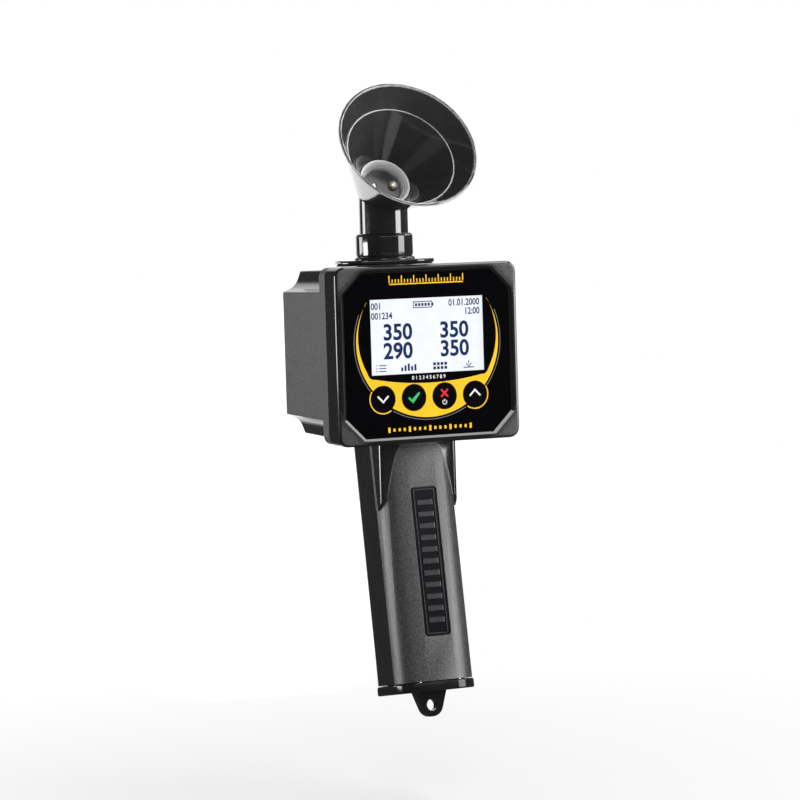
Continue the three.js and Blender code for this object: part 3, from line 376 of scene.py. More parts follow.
caseLooks = {
    "gloss_black": dict(colour=(0.018, 0.0177, 0.018), spread=0.12, mottle=11, grain=0.8, smooth=0.06,
                        rough=0.09, marks=0.04, depth=0.0006, wave=12, waveDepth=0.012, specular=0.7),
    "rubber": dict(colour=(0.018, 0.018, 0.018), spread=0.2, mottle=3, grain=0.2, smooth=0.6,
                   rough=0.75, marks=0.08, depth=0.006),
    "nylon": dict(colour=(0.62, 0.60, 0.55), spread=0.06, mottle=4, grain=0.3, smooth=0.35,
                  rough=0.45, marks=0.05, depth=0.004),
    "socket": dict(colour=(0.78, 0.76, 0.70), spread=0.05, mottle=2, grain=0.2, smooth=0.38,
                   rough=0.48, marks=0.05, depth=0.003),
    "chip": dict(colour=(0.022, 0.022, 0.024), spread=0.15, mottle=2, grain=0.12, smooth=0.45,
                 rough=0.6, marks=0.05, depth=0.004),
    "light_guide": dict(colour=(0.80, 0.82, 0.83), spread=0.04, mottle=6, grain=0.5, smooth=0.2,
                        rough=0.3, marks=0.04, depth=0.002),
    "key_film": dict(colour=(0.0020, 0.0020, 0.0026), spread=0.2, mottle=3, grain=0.12, smooth=0.09,
                     rough=0.13, marks=0.04, depth=0.0006, specular=0.2),
    "film": dict(colour=(0.0012, 0.0012, 0.0018), spread=0.2, mottle=6, grain=0.12, smooth=0.08,
                 rough=0.12, marks=0.04, depth=0.0006, specular=0.18),
    "lead_red": dict(colour=(0.48, 0.020, 0.016), spread=0.12, mottle=2, grain=0.2, smooth=0.34,
                     rough=0.44, marks=0.06, depth=0.002),
    "lead_black": dict(colour=(0.015, 0.015, 0.015), spread=0.2, mottle=2, grain=0.2, smooth=0.34,
                       rough=0.44, marks=0.06, depth=0.002),
    "rib_plastic": dict(colour=(0.010, 0.011, 0.014), spread=0.15, mottle=4, grain=0.25, smooth=0.20,
                        rough=0.30, marks=0.06, depth=0.003, specular=0.6),
    "cap_plastic": dict(colour=(0.010, 0.010, 0.0103), spread=0.12, mottle=8, grain=0.6, smooth=0.10,
                        rough=0.15, marks=0.05, depth=0.001, wave=12, waveDepth=0.01, specular=0.32),
}

finishes = {slot: mouldedPlastic(slot, look) for slot, look in caseLooks.items()}
print("plastics made:", len(finishes))


gripLook = {
    "smooth": (0.010, 0.010, 0.0104),   # polished sides and shoulders
    "grained": (0.042, 0.040, 0.041),   # spark-eroded front
    "tilt": -10, "halfWidth": 17.7, "halfDepth": 14.95, "cornerRadius": 11.3,   # the grip's section
    "skin": 0.28, "frontEdge": 0.9,     # how far from the section, and from its side, the grain ends
    "grain": 0.7, "depth": 0.10,
}


def gripPlastic():
    # the front of the grip is grained, its sides and shoulders are polished
    look = gripLook
    recipe = Recipe("grip_plastic", ior=1.49, specular=0.75)
    x, y = recipe.own(turn=(look["tilt"], 0, 0))[:2]
    radius = look["cornerRadius"]
    sideways = recipe.beyond(recipe.size(x), look["halfWidth"] - radius)
    forward = recipe.beyond(recipe.times(y, -1.0), look["halfDepth"] - radius)
    away = recipe.size(recipe.minus(recipe.length(sideways, forward), radius * mm))
    mask = recipe.times(recipe.before(away, look["skin"], 0.06), recipe.past(forward, look["frontEdge"], 0.2))
    polished = recipe.tint(recipe.noise(8, 3), look["smooth"], 0.12)
    fleck = recipe.noise(look["grain"], 3, 0.6)
    field = recipe.tint(fleck, look["grained"], 0.55, 0.12)
    smoothGloss = recipe.range(recipe.noise(9, 2), 0.11, 0.14)
    gloss = recipe.plus(recipe.times(recipe.range(fleck, 0.30, 0.42), mask),
                        recipe.times(smoothGloss, recipe.minus(1.0, mask)))
    relief = recipe.bump(recipe.times(fleck, mask), look["depth"])
    return recipe.finish(recipe.blend(mask, polished, field), gloss, relief)


finishes["grip_plastic"] = gripPlastic()


housingLook = {
    "grained": (0.050, 0.050, 0.051), "smooth": (0.011, 0.011, 0.0114),
    "halfWidth": 40.1, "halfHeight": 35.3, "flangeBack": 17.4, "back": 59.9, "draft": 0.022,
    "inset": 0.35, "soft": 0.1,   # the grain begins this far under the outer faces
    "grain": 0.8, "depth": 0.14, "gloss": (0.13, 0.40, 0.14),
}


def housingPlastic():
    # spark-eroded grain on the flat sides and the flange, polish in the corner scoops
    look = housingLook
    recipe = Recipe("housing_plastic", ior=1.49)
    x, y, z = recipe.own(move=headPoint(0, 0, 0))
    lean = recipe.math("MULTIPLY_ADD", y, look["draft"], -look["draft"] * look["flangeBack"] * mm)

    def outer(value, edge):
        return recipe.past(value, edge - look["inset"], look["soft"])

    onSide = outer(recipe.plus(recipe.size(x), lean), look["halfWidth"])
    onTop = outer(recipe.plus(recipe.size(z), lean), look["halfHeight"])
    mask = recipe.most(recipe.most(onSide, onTop), outer(y, look["back"]))
    fleck = recipe.noise(look["grain"], 3, 0.6)
    field = recipe.tint(fleck, look["grained"], 0.55, 0.12)
    polished = recipe.tint(recipe.noise(9, 3), look["smooth"], 0.1)
    return recipe.grained(mask, field, polished, fleck, look["gloss"], look["depth"])


finishes["housing_plastic"] = housingPlastic()


coverLook = {
    "rim": (0.0095, 0.0095, 0.0098), "corner": (0.040, 0.040, 0.041),
    "face": (0.175, 0.075),       # depth at which the grain ends, and its soft border
    "cornerLine": (65.5, 4),      # the same for across plus up, measured from the cover's middle
    "grain": 0.6, "depth": 0.06, "gloss": (0.10, 0.30, 0.10),
}


def coverPlastic():
    # a polished rim with fine grain in the fields across its four corners
    look = coverLook
    recipe = Recipe("cover_plastic", ior=1.49, specular=0.65)
    x, y, z = recipe.own(move=headPoint(0, 0, 0))
    across = recipe.plus(recipe.size(x), recipe.size(z))
    mask = recipe.times(recipe.before(y, *look["face"]), recipe.past(across, *look["cornerLine"]))
    fleck = recipe.noise(look["grain"], 3, 0.6)
    field = recipe.tint(fleck, look["corner"], 0.5, 0.14)
    polished = recipe.tint(recipe.noise(9, 3), look["rim"], 0.1)
    return recipe.grained(mask, field, polished, fleck, look["gloss"], look["depth"])


finishes["cover_plastic"] = coverPlastic()


cupPlace = {"height": 169.6, "back": 24.2, "tilt": 57.5}  # the elbow's centre and the lean of the mouth


def inCup(recipe):
    # places measured from the elbow's centre, with Z along the mouth's axis
    centre = (0, cupPlace["back"] * mm, cupPlace["height"] * mm)
    return recipe.own(move=centre, turn=(cupPlace["tilt"], 0, 0))


chamberLook = {
    # floor is the floor's own colour; deep and pale are painted reflection tones of the wall, darkest low down
    # and brightest at the rim
    "floor": (0.018, 0.018, 0.0185), "deep": (0.20, 0.20, 0.205), "pale": (0.92, 0.92, 0.93),
    "wallLow": 0.2, "wallTop": 3.4,
    "reflectionBands": ((0.36, 0.62), (0.42, 0.40), (0.50, 0.85), (0.95, 1.0)),   # share of the height and of the pale
}


def chamberPlastic():
    # a dark floor inside a pale polished wall, painted lighter for the shade inside the cup, with painted
    # reflection that runs from darker low down to a painted highlight along its rim
    look = chamberLook
    recipe = Recipe("chamber_plastic", ior=1.52, specular=0.3)
    height = inCup(recipe)[2]
    wall = recipe.past(height, 0.125, 0.075)
    # painted reflection up the wall: darkest low down, brightest along the rim
    rise = recipe.plus(recipe.range(height, 0, 1, look["wallLow"] * mm, look["wallTop"] * mm),
                       recipe.range(recipe.noise(2.2, 3), -0.08, 0.08))
    floor = recipe.tint(recipe.noise(4, 3), look["floor"], 0.14)
    reflectionBands = [(place, shade(look["pale"], share)) for place, share in look["reflectionBands"]]
    pale = recipe.ramp(rise, (0.05, look["deep"]), *reflectionBands)
    fine = recipe.noise(0.25, 3)
    return recipe.finish(recipe.blend(wall, floor, pale), recipe.range(fine, 0.10, 0.16),
                         recipe.bump(fine, 0.002))


finishes["chamber_plastic"] = chamberPlastic()


cupLook = {
    # inside is a lighter copy of black, painted light for the shade in the funnel; the pale colour is painted
    # highlight along the lip's edges and the inner step
    "black": (0.017, 0.0166, 0.017), "inside": (0.040, 0.039, 0.040), "paintedEdgeHighlight": (0.52, 0.52, 0.52),
    "wellRadius": 11.4, "wellTop": 3.4, "slope": 0.615,    # where the funnel's inner wall begins
    "lipLow": 31.6, "outerEdge": 30.28, "innerEdge": 29.62, "edgeSoft": 0.08, "step": 22.9, "ledge": 23.62,
}


def cupPlastic():
    # gloss black, painted lighter inside the funnel as painted light, with painted highlights along the two
    # edges of the lip and the inner step
    look = cupLook
    recipe = Recipe("cup_plastic", ior=1.5, specular=0.95)
    x, y, along = inCup(recipe)
    radius = recipe.length(x, y)
    # painted highlight: pale bands along the lip's outer and inner edges and along the inner step, broken up by
    # noise
    edges = recipe.most(recipe.past(radius, look["outerEdge"], look["edgeSoft"]),
                        recipe.before(radius, look["innerEdge"], look["edgeSoft"]))
    lip = recipe.times(recipe.past(along, look["lipLow"], 0.1), edges)
    fromStep = recipe.size(recipe.minus(along, look["step"] * mm))
    step = recipe.times(recipe.before(fromStep, 0.13, 0.03), recipe.before(radius, look["ledge"], 0.06))
    highlightBreakup = recipe.range(recipe.noise(1.2, 3), 0.7, 1.0)
    paintedEdgeHighlight = recipe.times(recipe.most(lip, step), highlightBreakup)
    # how far a place lies outside the funnel's inner wall
    wallStart = (look["wellTop"] * look["slope"] - look["wellRadius"]) * mm
    funnel = recipe.plus(radius, recipe.math("MULTIPLY_ADD", along, -look["slope"], wallStart))
    # painted light: the funnel's inner face is lighter than the outer black, making up for the shade inside the
    # cup
    paintedLightInside = recipe.times(recipe.before(funnel, 0.95, 0.05), recipe.past(along, look["wellTop"] + 0.15, 0.15))
    mottle = recipe.noise(11, 3)
    black = recipe.blend(paintedLightInside, recipe.tint(mottle, look["black"], 0.12),
                         recipe.tint(mottle, look["inside"], 0.12))
    gloss = recipe.plus(recipe.range(recipe.noise(5, 4), 0.06, 0.10), recipe.times(paintedEdgeHighlight, 0.2))
    return recipe.finish(recipe.blend(paintedEdgeHighlight, black, look["paintedEdgeHighlight"]), gloss,
                         recipe.bump(recipe.noise(12, 1), 0.012))


finishes["cup_plastic"] = cupPlastic()


labelLook = {"dark": (0.0035, 0.0038, 0.0055), "light": (0.0055, 0.006, 0.008), "grain": 0.25, "depth": 0.003}


def labelPlastic():
    look = labelLook
    recipe = Recipe("label", ior=1.48, specular=0.15)
    fleck = recipe.noise(look["grain"], 3)
    tint = recipe.between(recipe.noise(5, 3), look["dark"], look["light"])
    return recipe.finish(tint, recipe.range(fleck, 0.16, 0.24), recipe.bump(fleck, look["depth"]))


finishes["label"] = labelPlastic()


metalLooks = {
    # colour, lowest and highest roughness, stretch of the brushed streaks
    "steel": ((0.56, 0.56, 0.57), 0.18, 0.34, (1, 1, 6)),
    "electrode_metal": ((0.95, 0.90, 0.78), 0.26, 0.36, (4, 1, 1)),
}


def metal(name, colour, smooth, rough, brushed):
    recipe = Recipe(name, metallic=1.0)
    streaks = recipe.noise(0.3, 4, 0.6, recipe.mapped(scale=brushed))
    tint = recipe.between(recipe.noise(1.5, 4), shade(colour, 0.86), shade(colour, 1.05))
    return recipe.finish(tint, recipe.range(streaks, smooth, rough), recipe.bump(streaks, 0.002))


for name, look in metalLooks.items():
    finishes[name] = metal(name, *look)


windowLook = {
    "dark": (0.030, 0.034, 0.040), "light": (0.045, 0.050, 0.058),
    "cover": (0.05, 0.07), "slanted": 0.9,    # how much it covers, and how much more at a slant
}


def windowPlastic():
    # clear acrylic: the picture shows through, the gloss stays
    look = windowLook
    recipe = Recipe("window", ior=1.49)
    smear = recipe.noise(7, 4, 0.6)
    weight = recipe.add("ShaderNodeLayerWeight")
    weight.inputs["Blend"].default_value = 0.5
    slant = recipe.math("POWER", weight.outputs["Facing"], 5.0)
    cover = recipe.plus(recipe.range(smear, *look["cover"]), recipe.times(slant, look["slanted"]))
    recipe.join(cover, recipe.shader.inputs["Alpha"])
    tint = recipe.between(smear, look["dark"], look["light"])
    return recipe.finish(tint, recipe.range(smear, 0.03, 0.08))


finishes["window"] = windowPlastic()


displayLook = {"lit": (0.90, 0.93, 0.99), "line": (0.86, 0.90, 0.97), "dot": 0.4, "strength": 1.07,
               "pane": 0.12, "ink": (0.004, 0.024, 0.125)}


def displayGlass():
    # a lit panel with its faint grid of dots
    look = displayLook
    recipe = Recipe("display", emission=look["strength"])
    grid = recipe.most(recipe.waves(look["dot"], "X"), recipe.waves(look["dot"], "Z"))
    lit, pane = (recipe.ramp(grid, (0.86, shade(look["lit"], share)), (1.0, shade(look["line"], share)))
                 for share in (1, look["pane"]))
    recipe.join(lit, recipe.shader.inputs["Emission Color"])
    return recipe.finish(pane, recipe.range(recipe.noise(6, 3), 0.16, 0.26))


finishes["display"] = displayGlass()


circuitLooks = {
    # base, printed tracks, pitch of the tracks
    "circuit": ((0.006, 0.006, 0.007), (0.022, 0.022, 0.024), 3.2),
    "board": ((0.012, 0.11, 0.045), (0.030, 0.21, 0.075), 2.4),
}


def circuitSheet(name, base, trace, pitch):
    # printed tracks under a lacquer
    recipe = Recipe(name, ior=1.5)
    tracks = recipe.range(recipe.waves(pitch, "X", 6.0), 0, 1, 0.62, 0.70)
    weave = recipe.noise(0.5, 2)
    colour = recipe.blend(tracks, recipe.tint(weave, base, 0.15), trace)
    return recipe.finish(colour, recipe.range(weave, 0.3, 0.42), recipe.bump(tracks, 0.03))


for name, look in circuitLooks.items():
    finishes[name] = circuitSheet(name, *look)


foamLook = {"pore": 0.7, "dark": (0.012, 0.012, 0.013), "light": (0.055, 0.055, 0.058), "depth": 0.25}


def foamSheet():
    look = foamLook
    recipe = Recipe("foam", ior=1.3)
    pores = recipe.cells(look["pore"])
    tint = recipe.ramp(pores, (0.15, look["dark"]), (0.6, look["light"]))
    return recipe.finish(tint, recipe.range(pores, 0.95, 0.8, 0, 0.6), recipe.bump(pores, look["depth"]))


finishes["foam"] = foamSheet()


batteryLook = {"dark": ((0.014, 0.015, 0.018), (0.022, 0.023, 0.027)),
               "copper": ((0.56, 0.27, 0.12), (0.64, 0.32, 0.15)), "band": 0.72, "soft": 0.3}


def batteryCase():
    # a printed steel can: dark body with one plain copper-coloured end
    look = batteryLook
    recipe = Recipe("battery_case", metallic=0.6)
    height = recipe.own(turn=(gripLook["tilt"], 0, 0))[2]
    band = recipe.range(height, 0, 1, batteryBand - look["soft"] * mm, batteryBand)
    smear = recipe.noise(5, 4)
    dark, copper = (recipe.between(smear, *look[part]) for part in ("dark", "copper"))
    colour = recipe.blend(band, dark, copper)
    return recipe.finish(colour, recipe.range(smear, 0.24, 0.34), recipe.bump(smear, 0.01))


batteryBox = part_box("battery")
batteryBand = batteryBox[0].z + (batteryBox[1].z - batteryBox[0].z) * batteryLook["band"]
finishes["battery_case"] = batteryCase()


def slotOf(name):
    for material in frame["record"]["materials"]:
        if name in material.get("nodes", []):
            return material["slot"]


ownFinish = {"measuring_cup": "cup_plastic", "battery_cap": "cap_plastic"}   # not their slot's finish
dressed = 0
for name, piece in nodes.items():
    held = [slot.material.name for slot in piece.material_slots if slot.material]
    wanted = ownFinish.get(name) or slotOf(name) or (held[0] if held else None)
    finish = finishes.get(wanted)
    if finish:
        for slot in piece.material_slots:
            slot.material = finish
        dressed += 1
    else:
        print("no finish for", name, wanted)
print("nodes dressed:", dressed, "of", len(nodes))


# refined skins of the moulded pieces: smooth where the real part is round, with softened edges
skins = {
    # node: (angle above which an edge stays sharp, width of the softened edge in millimetres)
    "front_cover": (23.2, 0.34), "rear_housing": (19, 0.26), "handle": (30, 0.22), "measuring_cup": (30, 0.12),
    "cup_socket": (30, 0.35), "battery_cap": (30, 0.30), "chamber_base": (30, 0), "electrode_left": (50, 0),
    "electrode_right": (50, 0), "socket_gasket": (30, 0), "grip_label": (30, 0), "front_film": (30, 0),
    "key_down": (30, 0), "key_ok": (30, 0), "key_esc": (30, 0), "key_up": (30, 0),
}


coverRound = {"halfWidth": 41.3, "halfHeight": 36.9, "corner": 4.2, "modelled": 0.9, "wanted": 1.5}
recessRim = {"halfWidth": 38.5, "halfHeight": 34.85, "cut": 9, "spread": 0.38}
touch = 0.02   # millimetres within which a point counts as lying on a face
skinWork = {
    "merge": 0.005,    # millimetres within which points become one
    "flat": 0.4,       # faces within this angle are joined
    "beyondSharp": 4,  # an edge is softened from this angle past the sharp one
    "segments": 3,
}


def fromHead(bm):
    # each point with its place from the cover's middle and its depth from the cover's front
    front = min(vert.co.y for vert in bm.verts)
    middle = headPlace["height"] * mm
    return [(vert, vert.co.x, vert.co.z - middle, vert.co.y - front) for vert in bm.verts]


def widenCoverRounding(bm):
    # the rounding along the front edge of the cover is wider than the modelled one
    look = coverRound
    growth = look["wanted"] / look["modelled"]
    radius = look["corner"] * mm
    limit = (look["modelled"] + touch) * mm
    corner = Vector((look["halfWidth"] - look["corner"], look["halfHeight"] - look["corner"])) * mm
    for vert, across, up, depth in fromHead(bm):
        reach = Vector((max(abs(across) - corner.x, 0), max(abs(up) - corner.y, 0)))
        inset = radius - reach.length
        if depth > limit or inset > limit:
            continue
        moved = reach.normalized() * (radius - inset * growth)
        if reach.x > 0:
            vert.co.x += math.copysign(corner.x + moved.x, across) - across
        if reach.y > 0:
            vert.co.z += math.copysign(corner.y + moved.y, up) - up
        vert.co.y += depth * (growth - 1)


def spreadRecessRim(bm):
    # the slope round the film is wider at the sides and across the corners than the modelled one
    look = recessRim
    spread = look["spread"] * mm
    beside = Vector((look["halfWidth"], look["halfHeight"] - look["cut"])) * mm
    below = Vector((look["halfWidth"] - look["cut"], look["halfHeight"])) * mm
    moves = ((beside, spread, spread * (math.sqrt(2) - 1)), (below, spread * math.sqrt(2), 0))
    for vert, across, up, depth in fromHead(bm):
        for corner, outward, upward in moves:
            if depth < touch * mm and (Vector((abs(across), abs(up))) - corner).length < 5 * touch * mm:
                vert.co.x += math.copysign(outward, across)
                vert.co.z += math.copysign(upward, up)


def refinedSkin(node, sharpAngle, softEdge):
    source = nodes[node]
    bm = bmesh.new()
    bm.from_mesh(source.data)
    bmesh.ops.remove_doubles(bm, verts=bm.verts, dist=skinWork["merge"] * mm)
    if node == "front_cover":
        widenCoverRounding(bm)
        spreadRecessRim(bm)
    bmesh.ops.dissolve_limit(bm, angle_limit=math.radians(skinWork["flat"]), verts=bm.verts, edges=bm.edges)
    for face in bm.faces:
        face.smooth = True
    for edge in bm.edges:
        edge.smooth = len(edge.link_faces) == 2 and edge.calc_face_angle() < math.radians(sharpAngle)
    piece = newObject(node + "_skin", meshOf(bm, node + "_skin"), source.material_slots[0].material)
    if softEdge:
        soft = piece.modifiers.new("soft edges", "BEVEL")
        soft.width = softEdge * mm
        soft.segments = skinWork["segments"]
        soft.limit_method = "ANGLE"
        soft.angle_limit = math.radians(sharpAngle + skinWork["beyondSharp"])
        soft.miter_outer = "MITER_ARC"
    piece.modifiers.new("even normals", "WEIGHTED_NORMAL").keep_sharp = True
    piece.data = evaluatedMesh(piece)
    piece.modifiers.clear()
    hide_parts(node)
    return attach(piece, source["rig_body"])


for name, (sharpAngle, softEdge) in skins.items():
    refinedSkin(name, sharpAngle, softEdge)
print("skins made:", len(skins))


gripMarks = {
    "ribs": 11, "pitch": 4.9, "length": 7.2, "width": 2.5, "height": 0.4, "lift": 11.5, "soft": 0.28,
    "border": 0.45, "borderInset": 0.85, "borderHeight": 0.28,
}


def onGrip(mesh, name, material):
    # places a mesh drawn upright in millimetres on the leaning grip
    mesh.transform(Matrix.Rotation(math.radians(gripLook["tilt"]), 4, "X") @ Matrix.Scale(mm, 4))
    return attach(newObject(name, mesh, material), "detector")


def addBox(bm, centre, size):
    made = bmesh.ops.create_cube(bm, size=1)
    bmesh.ops.scale(bm, verts=made["verts"], vec=size)
    bmesh.ops.translate(bm, verts=made["verts"], vec=centre)


def gripRibs():
    # plain raised ribs in a thin frame
    look = gripMarks
    upright = Matrix.Rotation(math.radians(-gripLook["tilt"]), 4, "X")
    corners = [upright @ corner.co / mm for corner in nodes["grip_label"].data.vertices]
    front = min(corner.y for corner in corners)
    low, high = min(corner.z for corner in corners), max(corner.z for corner in corners)
    half = max(corner.x for corner in corners)
    bm = bmesh.new()
    for rib in range(look["ribs"]):
        lift = look["lift"] + (rib - (look["ribs"] - 1) / 2) * look["pitch"]
        addBox(bm, (0, front, lift), (look["length"], look["height"] * 2, look["width"]))
    bmesh.ops.bevel(bm, geom=list(bm.edges), offset=look["soft"], affect="EDGES", segments=3, profile=0.5,
                    material=-1, clamp_overlap=True)
    inset, thin, rise = look["borderInset"], look["border"], look["borderHeight"] * 2
    across = (half - inset - thin / 2) * 2
    for lift in (low + inset, high - inset):
        addBox(bm, (0, front, lift), (across, rise, thin))
    for side in (-across / 2, across / 2):
        addBox(bm, (side, front, (low + high) / 2), (thin, rise, high - low - 2 * inset + thin))
    onGrip(meshOf(bm, "label_ribs"), "label_ribs", finishes["rib_plastic"])


collarBead = {"radius": 11.7, "thickness": 1.15, "collarHeight": 11.0, "sides": 20, "steps": 72}


def makeCollarBead():
    # the rounded foot that runs round the collar on its plate
    look = collarBead
    low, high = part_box("neck_lock_nut")
    middle = (low + high) / 2
    middle.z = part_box("cup_socket")[1].z - look["collarHeight"] * mm
    bm = bmesh.new()
    ring = bmesh.ops.create_circle(bm, segments=look["sides"], radius=look["thickness"] * mm)
    bmesh.ops.rotate(bm, verts=bm.verts, cent=(0, 0, 0), matrix=Matrix.Rotation(math.radians(90), 3, "X"))
    bmesh.ops.translate(bm, verts=bm.verts, vec=middle + Vector((look["radius"] * mm, 0, 0)))
    bmesh.ops.spin(bm, geom=ring["verts"] + list(bm.edges), cent=middle, axis=(0, 0, 1),
                   angle=math.radians(360), steps=look["steps"], use_merge=True)
    bmesh.ops.recalc_face_normals(bm, faces=bm.faces)
    for face in bm.faces:
        face.smooth = True
    mesh = meshOf(bm, "collar_bead")
    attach(newObject("collar_bead", mesh, finishes["gloss_black"]), "detector")


gripRibs()
makeCollarBead()
print("ribs and bead made")


filmFace = 0.9   # how far the film's face lies behind the head's front
filmPrint = {
    "yellow": (0.93, 0.54, 0.018), "grey": (0.20, 0.20, 0.21), "white": (0.86, 0.86, 0.86),
    "green": (0.030, 0.55, 0.16), "red": (0.74, 0.022, 0.030),
    "outer": (32.4, 31.3, 5.0),    # half width, half height and centre height of the band's edge
    "inner": (31.5, 29.8, 7.2), "innerLow": -6.4, "innerCorner": (26.6, -9.55),
    "archRadius": 123.9, "archLow": -12.1, "archRight": 23.6,
    "lineGap": 0.95, "lineWidth": 0.26, "lineTop": 17, "tip": 22.2, "innerTip": 21.8,
    "keyClear": 5.62, "ringRadius": 5.95, "ringWidth": 0.5, "ringGap": 0.25,
    "ringStart": {"down": 147, "up": 233}, "ringTurn": 160,
}
keyRow = {"down": -21, "ok": -7, "esc": 7, "up": 21}
keyHeight = -17.9   # from the head's middle


def printInk(name, colour, roughness=0.34):
    # screen-printed ink: slightly uneven, with a fine pinhole grain
    recipe = Recipe(name, ior=1.45, specular=0.15)
    fleck = recipe.noise(0.18, 3)
    tint = recipe.between(recipe.noise(2.5, 3), shade(colour, 0.95), shade(colour, 1.04))
    gloss = recipe.range(fleck, roughness - 0.05, roughness + 0.05)
    return recipe.finish(tint, gloss, recipe.bump(fleck, 0.0015))


inks = {name: printInk("ink_" + name, filmPrint[name]) for name in ("yellow", "grey", "white", "green", "red")}
inks["display"] = printInk("ink_display", displayLook["ink"], 0.3)


def printFilm(name, shapes, ink, x=0, z=0, body="detector"):
    printOn(name, flatMesh(shapes), x, z, filmFace, inks[ink], body)


def ovalWalk(oval, start, end, steps):
    wide, high, centre = oval
    angles = [math.radians(start + (end - start) * step / steps) for step in range(steps + 1)]
    return [(wide * math.cos(angle), centre + high * math.sin(angle)) for angle in angles]


def ovalAngle(oval, height, side):
    # the angle at which the oval is at that height, on the left or the right
    rise = math.degrees(math.asin((height - oval[2]) / oval[1]))
    return rise if side > 0 else 180 - rise


def archHeight(x):
    look = filmPrint
    return look["archLow"] + look["archRadius"] - math.sqrt(look["archRadius"] ** 2 - x * x)


def smoothCorner(points, passes=3):
    # each pass cuts every corner at a quarter of its two sides
    for turn in range(passes):
        cut = [points[0]]
        for first, second in zip(points, points[1:]):
            for share in (0.25, 0.75):
                cut.append(tuple(a * (1 - share) + b * share for a, b in zip(first, second)))
        cut.append(points[-1])
        points = cut
    return points


def clearOfKey(points, keyX, radius):
    # where a line runs into a key's disc, it follows the disc's edge on the side of the band
    inside = [math.hypot(x - keyX, z - keyHeight) < radius for x, z in points]
    if not any(inside):
        return points
    first, last = inside.index(True), len(inside) - 1 - inside[::-1].index(True)
    start, end = (math.degrees(math.atan2(z - keyHeight, x - keyX)) for x, z in (points[first], points[last]))
    arc = circle(keyX, keyHeight, radius, 40, start, (end - start) % 360 - 360)
    return points[:first] + arc + points[last + 1:]


def yellowBand():
    look = filmPrint
    outer, inner = look["outer"], look["inner"]
    edge = ovalWalk(outer, ovalAngle(outer, look["tip"], -1), ovalAngle(outer, look["tip"], 1) + 360, 220)
    for keyX in (keyRow["down"], keyRow["up"]):
        edge = clearOfKey(edge, keyX, look["keyClear"])
    # the inner edge runs down the right side, along the arch and up the left side
    start, end = (ovalAngle(inner, look[name], 1) for name in ("innerTip", "innerLow"))
    rightSide = ovalWalk(inner, start, end, 60)
    archRight = look["archRight"]
    arch = [(x, archHeight(x)) for x in (archRight * (1 - step / 20) for step in range(41))]
    rightCorner = smoothCorner([rightSide[-1], look["innerCorner"], arch[0]])
    right = rightSide + rightCorner[1:-1]
    outline = edge + right + arch + [(-x, z) for x, z in right[::-1]]
    holes = [circle(keyRow[name], keyHeight, look["keyClear"]) for name in ("ok", "esc")]
    printFilm("print_yellow_band", [[outline] + holes], "yellow")


def outlineLines():
    # a thin grey line outside the band, broken at the two outer keys, and the rings round these keys
    look = filmPrint
    wide, high, centre = look["outer"]
    oval = (wide + look["lineGap"], high + look["lineGap"], centre)
    clear = look["ringRadius"] + look["ringWidth"] / 2 + look["ringGap"]
    parts, run = [], []
    top = look["lineTop"]
    for x, z in ovalWalk(oval, ovalAngle(oval, top, -1), ovalAngle(oval, top, 1) + 360, 240):
        near = any(math.hypot(x - keyRow[name], z - keyHeight) < clear for name in ("down", "up"))
        if near and run:
            parts.append(run)
            run = []
        elif not near:
            run.append((x, z))
    parts.append(run)
    printFilm("print_outline", [[stroke(part, look["lineWidth"])] for part in parts if len(part) > 2], "grey")
    arcs = [circle(keyRow[name], keyHeight, look["ringRadius"], 40, start, look["ringTurn"])
            for name, start in look["ringStart"].items()]
    printFilm("print_key_rings", [[stroke(arc, look["ringWidth"])] for arc in arcs], "yellow")


signLook = {
    "chevronHalf": 2.45, "chevronRise": 2.5, "stroke": 0.72, "upLift": 0.6,
    "tick": [(-2.4, 0.1), (-0.75, -1.6), (2.5, 1.9)], "tickStroke": 0.85,
    "crossSize": 1.55, "crossLift": 1.2,
    "powerRadius": 0.92, "powerStroke": 0.3, "powerDrop": 2.5,
}


def keySigns():
    look = signLook
    half, rise = look["chevronHalf"], look["chevronRise"] / 2
    down, up = ([[stroke([(-half, end), (0, -end), (half, end)], look["stroke"])]] for end in (rise, -rise))
    printFilm("sign_down", down, "white", keyRow["down"], keyHeight, "key_down")
    printFilm("sign_up", up, "white", keyRow["up"], keyHeight + look["upLift"], "key_up")
    tick = [[stroke(look["tick"], look["tickStroke"])]]
    printFilm("sign_ok", tick, "green", keyRow["ok"], keyHeight, "key_ok")
    size = look["crossSize"]
    cross = [(x * size, z * size) for x, z in crossOutline(look["tickStroke"] / size)]
    printFilm("sign_esc", [[cross]], "red", keyRow["esc"], keyHeight + look["crossLift"], "key_esc")
    ring = circle(0, 0, look["powerRadius"], 30, 122, 296)
    power = [[stroke(ring, look["powerStroke"])], [block(-0.15, 0.1, 0.15, 1.2)]]
    printFilm("sign_power", power, "white", keyRow["esc"], keyHeight - look["powerDrop"], "key_esc")


def crossOutline(pen):
    # a cross of two strokes with its arms' middles one millimetre out and up
    slim = pen / math.sqrt(2)
    arm = [(slim, 0), (1 + slim / 2, 1 - slim / 2), (1 - slim / 2, 1 + slim / 2)]
    turns = [(math.cos(angle), math.sin(angle)) for angle in (math.radians(90 * side) for side in range(4))]
    return [(x * near - z * far, x * far + z * near) for near, far in turns for x, z in arm]


plainMarks = {
    # half length, height, width of a tick, tall and short tick, number of steps
    "top": (16.8, 29.3, 0.5, 3.0, 1.5, 24), "low": (18.6, -30.8, 1.0, 2.2, 1.3, 16),
    "topBar": 0.5, "numbers": "0 1 2 3 4 5 6 7 8 9", "numberHeight": 1.55, "numberDrop": -9.85,
}


